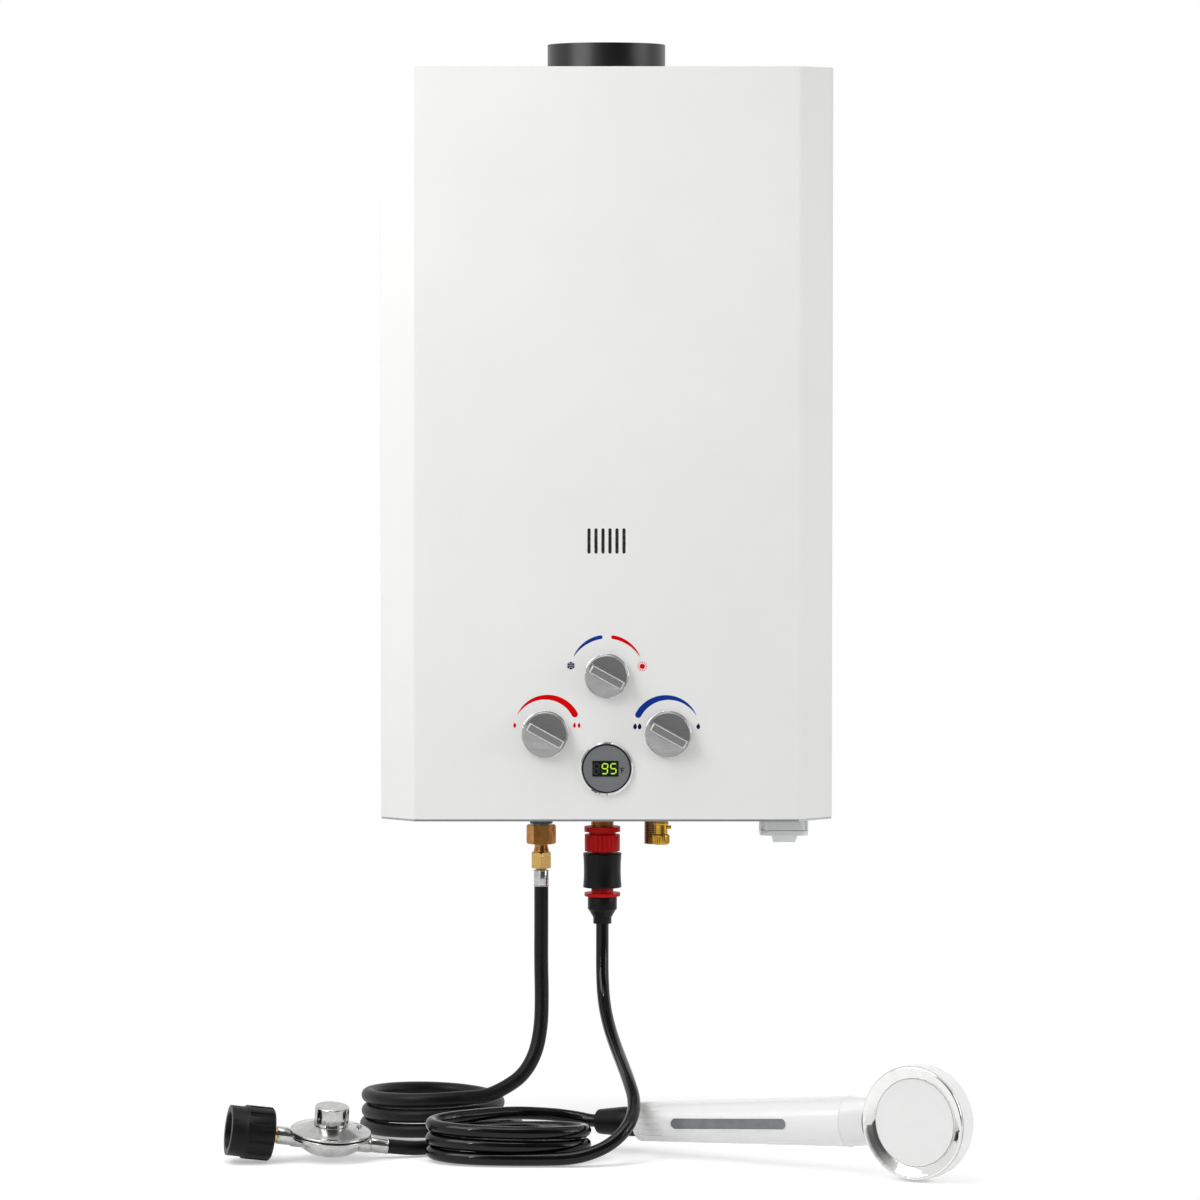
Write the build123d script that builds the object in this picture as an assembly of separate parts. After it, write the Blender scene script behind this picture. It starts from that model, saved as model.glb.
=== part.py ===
"""Wall-hung propane tankless water heater with its gas hose, regulator and hand shower.

Millimetres, +Z up, -Y is the front, and +X is to the right seen from the front.
The origin is midway between the two upper wall holes, on the wall.
"""
from build123d import *
from math import atan2, ceil, cos, pi, radians, sin, sqrt, tan
import os

# Shared clearances and stock
overrun = 2.0
seat_gap = 0.3
running_gap = 0.05
sheet = 1.2

# Case
body_width = 420.0
body_depth = 175.0
top_above_holes = 60.0
bottom_below_holes = 635.0
fold_width = 31.4
fold_depth = 30.0
bend_radius = 4.0
cover_setback = 2.0
plate_gap = 0.4
back_flange = 14.0
wall_hole_radius = 4.5
wall_hole_spacing = 150.0
lower_hole_drop = 590.0

# Sight slots in the front
slot_count = 6
slot_width = 3.0
slot_height = 23.5
slot_pitch = 6.46
slot_drop = 377.0
mica_width = 56.0
mica_height = 42.0
mica_thickness = 0.6

# Flue collar and draught hood
flue_radius = 55.0
flue_height = 23.4
flue_wall = 1.2
flue_lip = 2.5
flue_flange = 8.0
flue_step = 2.5
flue_y = -90.0
hood_margin = 90.0
hood_depth = 110.0
hood_height = 80.0

# Heat exchanger and combustion chamber
core_height = 60.0
core_wall = 2.0
fin_count = 9
fin_thickness = 1.5
tube_radius = 7.0
tube_fit = 0.3
pass_spacing = 44.0
riser_offset = 14.0
bend_of_tube = 12.0
hot_pipe_offset = 44.0

# Burner
tray_wall = 1.5
tray_height = 104.0
tray_below_manifold = 14.4
bar_count = 8
bar_width = 14.0
bar_height = 82.0
bar_base = 6.0
bar_crown = 4.0

# Gas manifold
manifold_radius = 7.0
manifold_inset = 13.0
manifold_rise = 62.0
manifold_y = -158.0
nozzle_radius = 3.0

# Controls: each knob is season, gas or water
knob_radius_season = 20.0
knob_radius_valve = 21.2
knob_skirt = 7.4
knob_bevel = 1.2
knob_eaves = 0.4
knob_crown = 11.0
knob_ridge_height = 19.0
knob_ridge_edge = 1.0
knob_ridge_width = 10.5
knob_ridge_taper = 7.0
knob_ridge_angle = 151.0
knob_ridge_tail_share = 0.94
knob_gap = 0.6
stem_radius = 5.0
stem_length = 47.0
stem_hole_radius = 7.0
valve_knob_rise = 79.0
season_knob_rise = 54.0
valve_knob_x = 57.0

# Valve bodies behind the knobs
valve_front_inset = 27.0
valve_bore_depth = 24.0
valve_width = 54.0
valve_depth = 78.0
valve_height = 60.0
valve_edge = 6.0
season_width = 40.0
season_depth = 34.0
season_height = 36.0

# Temperature display
display_fall = 31.7
bezel_radius = 24.5
bezel_height = 4.0
bezel_land = 2.0
display_face_height = 2.6
display_barrel_radius = 17.0
display_barrel_depth = 20.0
window_width = 24.0
window_height = 14.5
window_thickness = 0.6
window_x = -1.0

# Inner electrical pieces
igniter_width = 56.0
igniter_depth = 40.0
igniter_height = 96.0
igniter_inset = 40.0
igniter_drop = 330.0
electrode_radius = 2.5
electrode_length = 44.0
electrode_spacing = 24.0
electrode_bracket = 16.0
thermostat_radius = 9.0
thermostat_height = 7.0
thermostat_drop = 120.0
switch_width = 6.5
switch_depth = 20.0
switch_height = 11.0

# Gas inlet, from the case down
connection_y = -100.0
gas_x = -61.2
gas_spigot_radius = 7.0
grommet_radius = 10.65
grommet_height = 10.3
adaptor_gap = 1.2
adaptor_flats = 24.0
adaptor_height = 18.1
adaptor_waist_radius = 6.25
adaptor_waist_height = 2.1
flare_radius = 7.5
flare_height = 5.5
flare_nut_flats = 18.0
flare_nut_height = 15.3
flare_neck_radius = 5.25
flare_neck_height = 1.3
hose_stem_radius = 4.0
gas_ferrule_radius = 7.1
gas_ferrule_height = 15.6
hex_chamfer = 1.2

# Hot outlet and its quick connector
hot_x = -3.8
thread_radius = 10.48
tap_nut_fall = 13.4
tap_flange_radius = 17.0
tap_flange_height = 4.7
tap_groove_radius = 12.7
tap_groove_height = 2.8
tap_nut_radius = 16.6
tap_nut_height = 15.4
tap_neck_radius = 10.2
tap_neck_height = 1.7
tap_rib_count = 24
tap_rib_radius = 0.9
tap_nut_floor = 3.3
sleeve_radius = 18.15
sleeve_waist_radius = 17.3
sleeve_height = 32.7
core_radius = 10.4
core_neck_height = 5.1
core_flange_radius = 16.85
core_flange_height = 3.1
hose_nut_radius = 13.7
hose_nut_height = 13.4
hose_nut_edge = 1.2
collar_radius = 8.6
collar_taper = 6.7
collar_height = 5.8

# Cold inlet and drain valve
cold_x = 46.0
cold_pipe_radius = 8.0
cold_thread_length = 29.3
drain_x = 51.1
drain_y = -135.0
drain_neck_radius = 6.0
drain_neck_height = 17.0
drain_plug_radius = 7.6
drain_plug_height = 10.0
drain_plug_edge = 1.0
drain_stem_radius = 3.0
drain_stem_length = 12.0
drain_pin_radius = 1.75
drain_pin_fall = 11.0
drain_pin_reach = 9.4

# Battery box under the right-hand side
battery_gap = 3.0
battery_width = 45.0
battery_front = -124.0
battery_back = -78.0
battery_box_height = 152.0
battery_box_fall = 15.0
battery_wall = 2.0
battery_corner = 7.0
cell_radius = 16.8
cell_length = 61.5
cell_tip_radius = 4.8
cell_tip_height = 1.5
door_thickness = 4.6
door_gap = 0.4
door_nub_width = 24.0
door_nub_depth = 12.0
door_nub_height = 6.2
door_nub_taper = 14.0
door_nub_inset = 1.0
knuckle_radius = 2.4
knuckle_pin_radius = 1.4
knuckle_pin_length = 4.0
ear_width = 5.0

# Floor that the hoses lie on, and how their bends are made
floor_drop = 937.0
bend_share = 0.45
gap_samples_a_turn = 80

# Gas hose
gas_hose_radius = 6.65
gas_coil_x = -163.3
gas_coil_y = -97.0
gas_coil_half_width = 62.0
gas_coil_half_depth = 66.0
gas_coil_first_turn = -0.06
gas_coil_turns = 2.75
gas_coil_round_turns = 2.2
gas_coil_top = 42.5
gas_coil_spread = 30.0
hose_rest_gap = 0.6
gas_lead = 18.0
regulator_lead = 20.0
gas_drop_route = [
    (-61.2, -100.0, -704.7),
    (-61.2, -100.0, -741.0),
    (-61.4, -101.0, -776.0),
    (-60.6, -105.5, -809.0),
    (-61.4, -112.5, -837.0),
    (-66.5, -121.0, -861.0),
    (-78.0, -130.5, -879.5),
    (-94.5, -139.0, -890.0),
]
gas_tail_route = [
    (-85.5, -148.0, -929.9),
    (-92.0, -167.5, -930.0),
    (-102.5, -185.5, -929.9),
    (-116.5, -203.0, -930.0),
    (-132.1, -219.9, -929.9),
    (-148.1, -236.7, -930.0),
    (-163.8, -249.2, -929.7),
]

# Regulator
regulator_x = -251.5
regulator_y = -275.0
regulator_height = 24.1
regulator_tilt = 2.5
regulator_turn = 12.0
regulator_roll = -9.0
gas_way_tilt = 7.5
rim_radius = 36.3
rim_height = 3.4
bowl_depth = 16.0
bowl_radius_shares = (0.60, 0.74, 0.82)
bowl_depth_shares = (1.0, 0.78, 0.22)
dome_height = 9.0
dome_radius_shares = (0.93, 0.78, 0.50)
dome_height_shares = (0.42, 0.62, 1.0)
cap_radius = 15.6
cap_height = 17.0
cap_edge = 1.0
boss_drop = 6.5
inlet_boss_radius = 9.2
inlet_boss_reach = 36.0
inlet_stem_radius = 8.2
inlet_stem_reach = 49.0
outlet_boss_radius = 7.8
outlet_boss_reach = 37.0
lower_ferrule_length = 17.0
nipple_collar_radius = 7.0
nipple_collar_length = 12.0
nipple_radius = 5.6
nipple_length = 18.0
nipple_tip = 3.0
tank_nut_radius = 24.4
tank_nut_length = 40.0
tank_nut_start = 53.5
tank_nut_back = 6.0
tank_nut_bore = 17.0
tank_nut_rib_count = 12
tank_nut_groove_radius = 3.4
tank_nut_groove_depth = 1.5
tank_nut_edge = 2.0
tank_nut_collar_radius = 22.9
tank_nut_collar_length = 12.5
vent_radius = 2.2
vent_height = 3.0
vent_place_share = 0.72

# Shower hose
shower_hose_radius = 6.0
shower_coil_x = -89.5
shower_coil_y = -278.5
shower_coil_half_width = 71.0
shower_coil_half_depth = 38.0
shower_coil_turns = 2.37
shower_coil_level_turns = 0.1
shower_coil_pitch = 15.0
shower_lead = 22.0
shower_leave = 17.0
shower_drop_route = [
    (-3.8, -100.0, -739.8),
    (-3.8, -100.0, -762.0),
    (-3.9, -106.0, -788.0),
    (-2.4, -121.5, -812.0),
    (2.6, -146.5, -832.5),
    (9.4, -178.5, -848.5),
    (15.8, -212.0, -860.5),
    (21.0, -242.5, -871.0),
    (25.4, -267.0, -883.0),
    (24.2, -286.5, -895.5),
    (16.7, -301.5, -907.0),
    (4.0, -311.0, -917.5),
    (-12.5, -315.8, -925.0),
    (-32.0, -317.3, -929.6),
]
shower_tail_route = [
    (-97.0, -227.5, -896.3),
    (-78.0, -218.0, -898.6),
    (-59.2, -211.0, -901.8),
    (-41.7, -206.8, -905.2),
    (-25.2, -207.8, -908.4),
]

# Hand shower
handle_base = (31.5, -240.0, -907.0)
handle_turn = 32.0
handle_rise = 4.4
handle_length = 221.0
handle_base_radius = 18.0
handle_end_radius = 22.7
handle_edge = 1.5
handle_stub_radius = 10.2
handle_stub_length = 10.0
grip_rib_count = 20
grip_rib_radius = 1.0
grip_rib_start = 4.0
grip_rib_length = 26.0
slot_window_length = 123.0
slot_window_width = 9.7
slot_window_centre = 104.8
slot_window_depth = 1.6
head_reach = 71.0
head_radius = 51.0
head_thickness = 31.0
head_edge = 9.0
ring_outer_radius = 50.6
ring_body_radius = 48.2
ring_inner_radius = 39.4
ring_thickness = 9.0
ring_flange = 3.0
ring_lip = 1.2
dish_depth = 5.5
neck_width_share = 0.62
neck_height_share = 0.92
neck_reach = 26.0
cone_small_radius = 11.4
cone_large_radius = 13.6
cone_length = 44.0
cone_large_share = 0.42
cone_bore_gap = 0.9
cone_lead = 5.7

# Levels and places that follow from the sizes above
case_top = top_above_holes
case_bottom = -bottom_below_holes
front_y = -body_depth
hood_width = body_width - 2 * hood_margin
manifold_length = hood_width - 2 * manifold_inset
igniter_x = igniter_inset - body_width / 2
battery_left = hood_width / 2 + riser_offset + tube_radius + battery_gap
battery_right = battery_left + battery_width
flue_neck = flue_radius - flue_step
hood_top = case_top - 2 * sheet
hood_bottom = hood_top - hood_height
core_bottom = hood_bottom - core_height
hood_front = flue_y - hood_depth / 2
hood_back = flue_y + hood_depth / 2
valve_knob_drop = bottom_below_holes - valve_knob_rise
season_knob_drop = valve_knob_drop - season_knob_rise
display_drop = valve_knob_drop + display_fall
manifold_drop = season_knob_drop - manifold_rise
tray_bottom = -manifold_drop - tray_below_manifold
chamber_bottom = tray_bottom + tray_height
valve_front = front_y + valve_front_inset
valve_back = valve_front + valve_depth
valve_top = -valve_knob_drop + valve_height / 2
valve_bottom = -valve_knob_drop - valve_height / 2
floor = -floor_drop
head_offset = handle_length + head_reach
front = Plane.XZ.offset(body_depth)
middle = Align.CENTER
upright = (middle, middle, Align.MIN)

# Drops of the fittings under the case, each from the one above it
grommet_bottom = bottom_below_holes + grommet_height
adaptor_top = grommet_bottom + adaptor_gap
adaptor_bottom = adaptor_top + adaptor_height
adaptor_waist_bottom = adaptor_bottom + adaptor_waist_height
flare_bottom = adaptor_waist_bottom + flare_height
flare_nut_bottom = flare_bottom + flare_nut_height
flare_neck_bottom = flare_nut_bottom + flare_neck_height
gas_ferrule_top = flare_neck_bottom + seat_gap
gas_ferrule_bottom = gas_ferrule_top + gas_ferrule_height
tap_nut_top = bottom_below_holes + tap_nut_fall
tap_flange_bottom = tap_nut_top + tap_flange_height
tap_groove_bottom = tap_flange_bottom + tap_groove_height
tap_nut_bottom = tap_groove_bottom + tap_nut_height
tap_neck_bottom = tap_nut_bottom + tap_neck_height
hot_pipe_bottom = tap_nut_bottom - tap_nut_floor
sleeve_bottom = tap_neck_bottom + sleeve_height
core_neck_bottom = sleeve_bottom + core_neck_height
core_flange_bottom = core_neck_bottom + core_flange_height
hose_nut_bottom = core_flange_bottom + hose_nut_height
collar_top = hose_nut_bottom + collar_taper
collar_bottom = collar_top + collar_height
cold_bottom = bottom_below_holes + cold_thread_length
drain_neck_bottom = bottom_below_holes + drain_neck_height
drain_plug_bottom = drain_neck_bottom + drain_plug_height
drain_pin_drop = bottom_below_holes + drain_pin_fall
battery_box_bottom = bottom_below_holes + battery_box_fall


def block(x_low, x_high, y_low, y_high, z_low, z_high):
    """Box between two corners."""
    size = Box(x_high - x_low, y_high - y_low, z_high - z_low)
    return Pos((x_low + x_high) / 2, (y_low + y_high) / 2, (z_low + z_high) / 2) * size


def rod(radius, low, high, x=0, y=0):
    """Upright cylinder between two heights."""
    return Pos(x, y, low) * Cylinder(radius, high - low, align=upright)


def turned(*outline):
    """Solid of revolution about Z from (radius, height) corners."""
    corners = [(radius, 0, height) for radius, height in outline]
    return revolve(make_face(Polyline(*corners, close=True)), Axis.Z)


def hexagon(flats, low, high, turn=0):
    """Upright hexagonal prism with its corners turned off."""
    prism = Pos(0, 0, low) * extrude(RegularPolygon(flats / 2, 6, major_radius=False, rotation=turn), high - low)
    corner = flats / sqrt(3)
    barrel = turned(
        (0, low), (corner - hex_chamfer, low), (corner, low + hex_chamfer),
        (corner, high - hex_chamfer), (corner - hex_chamfer, high), (0, high),
    )
    return prism & barrel


def case_face(back_y):
    """Plan of the case: square at the wall, with both front edges folded back."""
    half = body_width / 2
    fold_x = half - fold_width
    fold_y = front_y + fold_depth
    outline = Polyline(
        (-half, back_y), (-half, fold_y), (-fold_x, front_y),
        (fold_x, front_y), (half, fold_y), (half, back_y), close=True,
    )
    plan = make_face(outline)
    folds = [corner for corner in plan.vertices() if corner.Y < back_y - fold_depth]
    return fillet(folds, bend_radius)


def inset_case_face(inset, back_y):
    """Plan of the case drawn in by a distance, with its back edge at back_y."""
    return offset(case_face(back_y + inset), -inset, kind=Kind.INTERSECTION)


# Case


def make_front_cover():
    """Folded sheet cover with the sight slots and the control holes."""
    height = case_top - case_bottom
    skin = case_face(-cover_setback) - inset_case_face(sheet, overrun)
    cover = Pos(0, 0, case_bottom) * extrude(skin, height)
    holes = Sketch()
    slots_wide = (slot_count - 1) / 2 * slot_pitch
    for index in range(slot_count):
        slot_x = index * slot_pitch - slots_wide
        holes += Pos(slot_x, -slot_drop) * SlotOverall(slot_height, slot_width, rotation=90)
    for x, drop, _ in knob_places():
        holes += Pos(x, -drop) * Circle(stem_hole_radius)
    holes += Pos(0, -display_drop) * Circle(display_barrel_radius + seat_gap)
    return cover - extrude(front.offset(overrun) * holes, -(sheet + 2 * overrun))


def make_back_plate():
    """Wall plate with folded side flanges and two pairs of wall holes."""
    half = body_width / 2 - sheet - plate_gap
    plate = block(-half, half, -sheet, 0, case_bottom, case_top)
    for side in (-1, 1):
        inner = side * (half - sheet)
        outer = side * half
        plate += block(min(inner, outer), max(inner, outer), -back_flange, -sheet, case_bottom, case_top)
    for x in (-wall_hole_spacing / 2, wall_hole_spacing / 2):
        for height in (0, -lower_hole_drop):
            plate -= Pos(x, -sheet / 2, height) * Rot(90) * Cylinder(wall_hole_radius, sheet + overrun)
    return plate


def end_plate(low):
    """Top or bottom closing plate, cut round the flanges of the wall plate."""
    inset = sheet + plate_gap
    plan = inset_case_face(inset, -sheet)
    plate = Pos(0, 0, low) * extrude(plan, sheet)
    half = body_width / 2 - inset
    notch = sheet + plate_gap
    for side in (-1, 1):
        inner = side * (half - notch)
        outer = side * (half + overrun)
        plate -= block(
            min(inner, outer), max(inner, outer), -back_flange - plate_gap, overrun,
            low - overrun, low + sheet + overrun,
        )
    return plate


def make_top_plate():
    """Top plate with the flue hole."""
    hole = rod(flue_neck + seat_gap, case_top - sheet - overrun, case_top + overrun, 0, flue_y)
    return end_plate(case_top - sheet) - hole


def make_bottom_plate():
    """Bottom plate with a hole for each connection and for the battery box."""
    plate = end_plate(case_bottom)
    low = case_bottom - overrun
    high = case_bottom + sheet + overrun
    plate -= rod(gas_spigot_radius + seat_gap, low, high, gas_x, connection_y)
    plate -= rod(thread_radius + seat_gap, low, high, hot_x, connection_y)
    plate -= rod(thread_radius + seat_gap, low, high, cold_x, connection_y)
    plate -= rod(drain_neck_radius + seat_gap, low, high, drain_x, drain_y)
    plate -= block(
        battery_left - seat_gap, battery_right + seat_gap,
        battery_front - seat_gap, battery_back + seat_gap, low, high,
    )
    return plate


def make_flue_collar():
    """Round flue outlet with a flange under the top plate, a stepped neck through it and an inward lip."""
    bore = flue_radius - flue_wall
    shoulder = case_top + seat_gap
    top = case_top + flue_height
    collar = turned(
        (flue_neck - flue_wall, hood_top), (flue_neck + flue_flange, hood_top),
        (flue_neck + flue_flange, case_top - sheet), (flue_neck, case_top - sheet), (flue_neck, shoulder),
        (flue_radius, shoulder), (flue_radius, top), (bore - flue_lip, top), (bore - flue_lip, top - flue_wall),
        (bore, top - flue_wall), (bore, shoulder + flue_wall), (flue_neck - flue_wall, shoulder + flue_wall),
    )
    return Pos(0, flue_y, 0) * collar


def make_sight_window():
    """Mica strip behind the sight slots."""
    y_front = front_y + sheet
    return block(
        -mica_width / 2, mica_width / 2, y_front, y_front + mica_thickness,
        -slot_drop - mica_height / 2, -slot_drop + mica_height / 2,
    )


# Combustion stack


def make_draft_hood():
    """Sheet hood from the exchanger to the flue."""
    half = hood_width / 2
    hood = block(-half, half, hood_front, hood_back, hood_bottom, hood_top)
    hood -= block(
        -half + sheet, half - sheet, hood_front + sheet, hood_back - sheet,
        hood_bottom - overrun, hood_top - sheet,
    )
    return hood - rod(flue_neck - flue_wall, hood_top - sheet - overrun, hood_top + overrun, 0, flue_y)


def pass_places():
    """Depth of the two water passes through the core."""
    return (flue_y - pass_spacing / 2, flue_y + pass_spacing / 2)


def make_exchanger_core():
    """Finned copper block, open above and below, with two water passes."""
    half = hood_width / 2
    core = block(-half, half, hood_front, hood_back, core_bottom, hood_bottom)
    gap = (hood_width - 2 * core_wall - fin_count * fin_thickness) / (fin_count + 1)
    for index in range(fin_count + 1):
        left = -half + core_wall + index * (gap + fin_thickness)
        core -= block(
            left, left + gap, hood_front + core_wall, hood_back - core_wall,
            core_bottom - overrun, hood_bottom + overrun,
        )
    for y in pass_places():
        hole = Rot(0, 90) * Cylinder(tube_radius + tube_fit, hood_width + 2 * overrun)
        core -= Pos(0, y, (core_bottom + hood_bottom) / 2) * hole
    return core


def make_combustion_chamber():
    """Copper-lined duct between the burner and the core."""
    half = hood_width / 2
    duct = block(-half, half, hood_front, hood_back, chamber_bottom, core_bottom)
    return duct - block(
        -half + core_wall, half - core_wall, hood_front + core_wall, hood_back - core_wall,
        chamber_bottom - overrun, core_bottom + overrun,
    )


def bent_tube(radius, bend, *points):
    """Round bar along straight runs with equal bends."""
    path = FilletPolyline(*points, radius=bend)
    return sweep(Plane(origin=path @ 0, z_dir=path % 0) * Circle(radius), path=path)


def make_exchanger_tube():
    """Copper tube from the water valve up the right side and twice through the core."""
    level = (core_bottom + hood_bottom) / 2
    front_pass, back_pass = pass_places()
    right = hood_width / 2 + riser_offset
    left = -hood_width / 2 - riser_offset
    valve_side = valve_knob_x + valve_width / 2
    return bent_tube(
        tube_radius, bend_of_tube,
        (valve_side, front_pass, -valve_knob_drop), (right, front_pass, -valve_knob_drop),
        (right, front_pass, level), (left, front_pass, level),
        (left, back_pass, level), (right, back_pass, level),
    )


def make_hot_pipe():
    """Copper tube from the core down behind the valves to the threaded hot outlet."""
    level = (core_bottom + hood_bottom) / 2
    back_pass = pass_places()[1]
    start = hood_width / 2 + riser_offset
    right = start + hot_pipe_offset
    low = (valve_bottom + case_bottom) / 2
    lane = (valve_back + -sheet) / 2
    pipe = bent_tube(
        tube_radius, bend_of_tube,
        (start, back_pass, level), (right, back_pass, level), (right, lane, level),
        (right, lane, low), (hot_x, lane, low), (hot_x, connection_y, low), (hot_x, connection_y, case_bottom),
    )
    return pipe + rod(thread_radius, -hot_pipe_bottom, case_bottom, hot_x, connection_y)


def make_burner_tray():
    """Folded tray on the wall plate that carries the burner and the chamber."""
    half = hood_width / 2
    tray = block(-half, half, hood_front, -sheet, tray_bottom, chamber_bottom)
    tray -= block(
        -half + tray_wall, half - tray_wall, hood_front - overrun, overrun,
        tray_bottom + tray_wall, chamber_bottom + overrun,
    )
    return tray


def make_burner_bars():
    """Row of burner bars with rounded crowns on one base."""
    inner = hood_width / 2 - tray_wall - seat_gap
    low = tray_bottom + tray_wall
    bars = block(-inner, inner, hood_front, hood_back, low, low + bar_base)
    pitch = 2 * inner / bar_count
    for index in range(bar_count):
        centre = -inner + (index + 1 / 2) * pitch
        bar = block(
            centre - bar_width / 2, centre + bar_width / 2, hood_front, hood_back, low, low + bar_height,
        )
        crown = bar.edges().filter_by(Axis.Y).group_by(Axis.Z)[-1]
        bars += fillet(crown, bar_crown)
    return bars


def make_gas_manifold():
    """Gas pipe across the burner with a nozzle for each bar, on a foot on the season valve."""
    pipe = Pos(0, manifold_y, -manifold_drop) * Rot(0, 90) * Cylinder(manifold_radius, manifold_length)
    inner = hood_width / 2 - tray_wall - seat_gap
    pitch = 2 * inner / bar_count
    reach = hood_front - seat_gap - manifold_y
    for index in range(bar_count):
        centre = -inner + (index + 1 / 2) * pitch
        stub = Rot(-90) * Cylinder(nozzle_radius, reach, align=upright)
        pipe += Pos(centre, manifold_y, -manifold_drop) * stub
    foot_low = -season_knob_drop + season_height / 2
    foot_high = foot_low + 2 * manifold_radius
    pipe += rod(manifold_radius, foot_low, -manifold_drop, 0, manifold_y)
    pipe += block(
        -manifold_radius, manifold_radius, manifold_y - manifold_radius, valve_front + season_depth / 2,
        foot_low, foot_high,
    )
    return pipe


# Valves and controls


def knob_places():
    """X, drop and radius of the season, gas and water knobs."""
    return (
        (0, season_knob_drop, knob_radius_season),
        (-valve_knob_x, valve_knob_drop, knob_radius_valve),
        (valve_knob_x, valve_knob_drop, knob_radius_valve),
    )


def stem_socket(x, drop):
    """Blind hole in a valve body for a knob's stem."""
    mouth = front.offset(-valve_front_inset + overrun) * Pos(x, -drop)
    return mouth * Cylinder(
        stem_radius + running_gap, valve_bore_depth + overrun, align=(middle, middle, Align.MAX),
    )


def cast_block(x, width, y_low, y_high, z_low, z_high):
    """Cast valve body with rounded upright edges."""
    body = block(x - width / 2, x + width / 2, y_low, y_high, z_low, z_high)
    return fillet(body.edges().filter_by(Axis.Z), valve_edge)


def make_gas_valve():
    """Gas valve with its inlet spigot and its link to the season valve."""
    body = cast_block(-valve_knob_x, valve_width, valve_front, valve_back, valve_bottom, valve_top)
    body -= stem_socket(-valve_knob_x, valve_knob_drop)
    body += rod(gas_spigot_radius, -adaptor_top, valve_bottom, gas_x, connection_y)
    return body


def make_water_valve():
    """Water valve between the cold inlet and the exchanger tube."""
    body = cast_block(valve_knob_x, valve_width, valve_front, valve_back, valve_bottom, valve_top)
    return body - stem_socket(valve_knob_x, valve_knob_drop)


def make_season_valve():
    """Season valve that feeds the manifold, joined to the gas valve by a cast arm."""
    low = -season_knob_drop - season_height / 2
    high = -season_knob_drop + season_height / 2
    body = cast_block(0, season_width, valve_front, valve_front + season_depth, low, high)
    arm_right = -season_width / 2 + valve_edge
    arm_back = valve_front + season_depth
    body += block(
        -valve_knob_x, arm_right, arm_back - 2 * manifold_radius - valve_edge, arm_back - valve_edge,
        valve_top, -season_knob_drop,
    )
    return body - stem_socket(0, season_knob_drop)


def make_knob(x, drop, radius):
    """Round knob with a roofed face, a grip ridge and the stem that turns the valve."""
    top_radius = radius - knob_bevel
    knob = turned(
        (0, knob_gap), (radius, knob_gap), (radius, knob_skirt - knob_bevel), (top_radius, knob_skirt),
        (0, knob_skirt),
    )
    eaves = knob_skirt + knob_eaves
    gable = Polyline(
        (0, -top_radius, knob_skirt), (0, top_radius, knob_skirt), (0, top_radius, eaves), (0, 0, knob_crown),
        (0, -top_radius, eaves), close=True,
    )
    roof = extrude(make_face(gable), top_radius, both=True, dir=(1, 0, 0))
    roof &= rod(top_radius, 0, knob_crown)
    knob += Rot(0, 0, knob_ridge_angle) * roof
    grip_start = -knob_ridge_tail_share * top_radius
    grip = Pos((top_radius + grip_start) / 2, 0) * Rectangle(top_radius - grip_start, knob_ridge_width)
    grip &= Circle(top_radius)
    ridge = extrude(grip, knob_ridge_height - knob_skirt, taper=knob_ridge_taper)
    ridge = chamfer(ridge.edges().group_by(Axis.Z)[-1], knob_ridge_edge)
    knob += Pos(0, 0, knob_skirt) * Rot(0, 0, knob_ridge_angle + 180) * ridge
    knob += Pos(0, 0, knob_gap - stem_length) * Cylinder(stem_radius, stem_length, align=upright)
    return front * Pos(x, -drop) * knob


def make_display_bezel():
    """Chrome ring round the display."""
    inner = bezel_radius - bezel_land
    ring = turned(
        (inner, 0), (bezel_radius, 0), (bezel_radius, bezel_height - bezel_land / 2),
        (bezel_radius - bezel_land / 2, bezel_height), (inner, display_face_height),
    )
    return front * Pos(0, -display_drop) * ring


def make_display_face():
    """Round display plate with the barrel that sits in the cover."""
    radius = bezel_radius - bezel_land - running_gap
    face = turned(
        (0, -display_barrel_depth), (display_barrel_radius, -display_barrel_depth),
        (display_barrel_radius, 0), (radius, 0), (radius, display_face_height), (0, display_face_height),
    )
    return front * Pos(0, -display_drop) * face


def make_display_window():
    """Dark window of the display."""
    pane = extrude(Rectangle(window_width, window_height), window_thickness)
    return front * Pos(window_x, -display_drop, display_face_height) * pane


# Inner electrical pieces


def make_igniter_box():
    """Pulse igniter box on the wall plate."""
    box = block(
        igniter_x - igniter_width / 2, igniter_x + igniter_width / 2, -sheet - igniter_depth, -sheet,
        -igniter_drop - igniter_height / 2, -igniter_drop + igniter_height / 2,
    )
    return fillet(box.edges().group_by(Axis.Y)[0], valve_edge / 2)


def make_ignition_electrodes():
    """Pair of ceramic rods on a bracket at the front of the chamber."""
    half = electrode_spacing / 2 + electrode_bracket / 2
    low = chamber_bottom
    bracket = block(-half, half, hood_front - tray_wall, hood_front, low, low + electrode_bracket)
    y = hood_front - tray_wall - electrode_radius + running_gap
    for x in (-electrode_spacing / 2, electrode_spacing / 2):
        bracket += rod(electrode_radius, low + electrode_bracket - electrode_length, low + electrode_bracket, x, y)
    return bracket


def make_overheat_thermostat():
    """Button thermostat on the left wall of the chamber."""
    button = Rot(0, -90) * Cylinder(thermostat_radius, thermostat_height, align=upright)
    return Pos(-hood_width / 2, flue_y, -thermostat_drop) * button


def make_microswitch():
    """Flow microswitch on top of the water valve."""
    x = valve_knob_x
    y = (valve_front + valve_back) / 2
    return block(
        x - switch_width / 2, x + switch_width / 2, y - switch_depth / 2, y + switch_depth / 2,
        valve_top, valve_top + switch_height,
    )


# Gas inlet fittings


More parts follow.
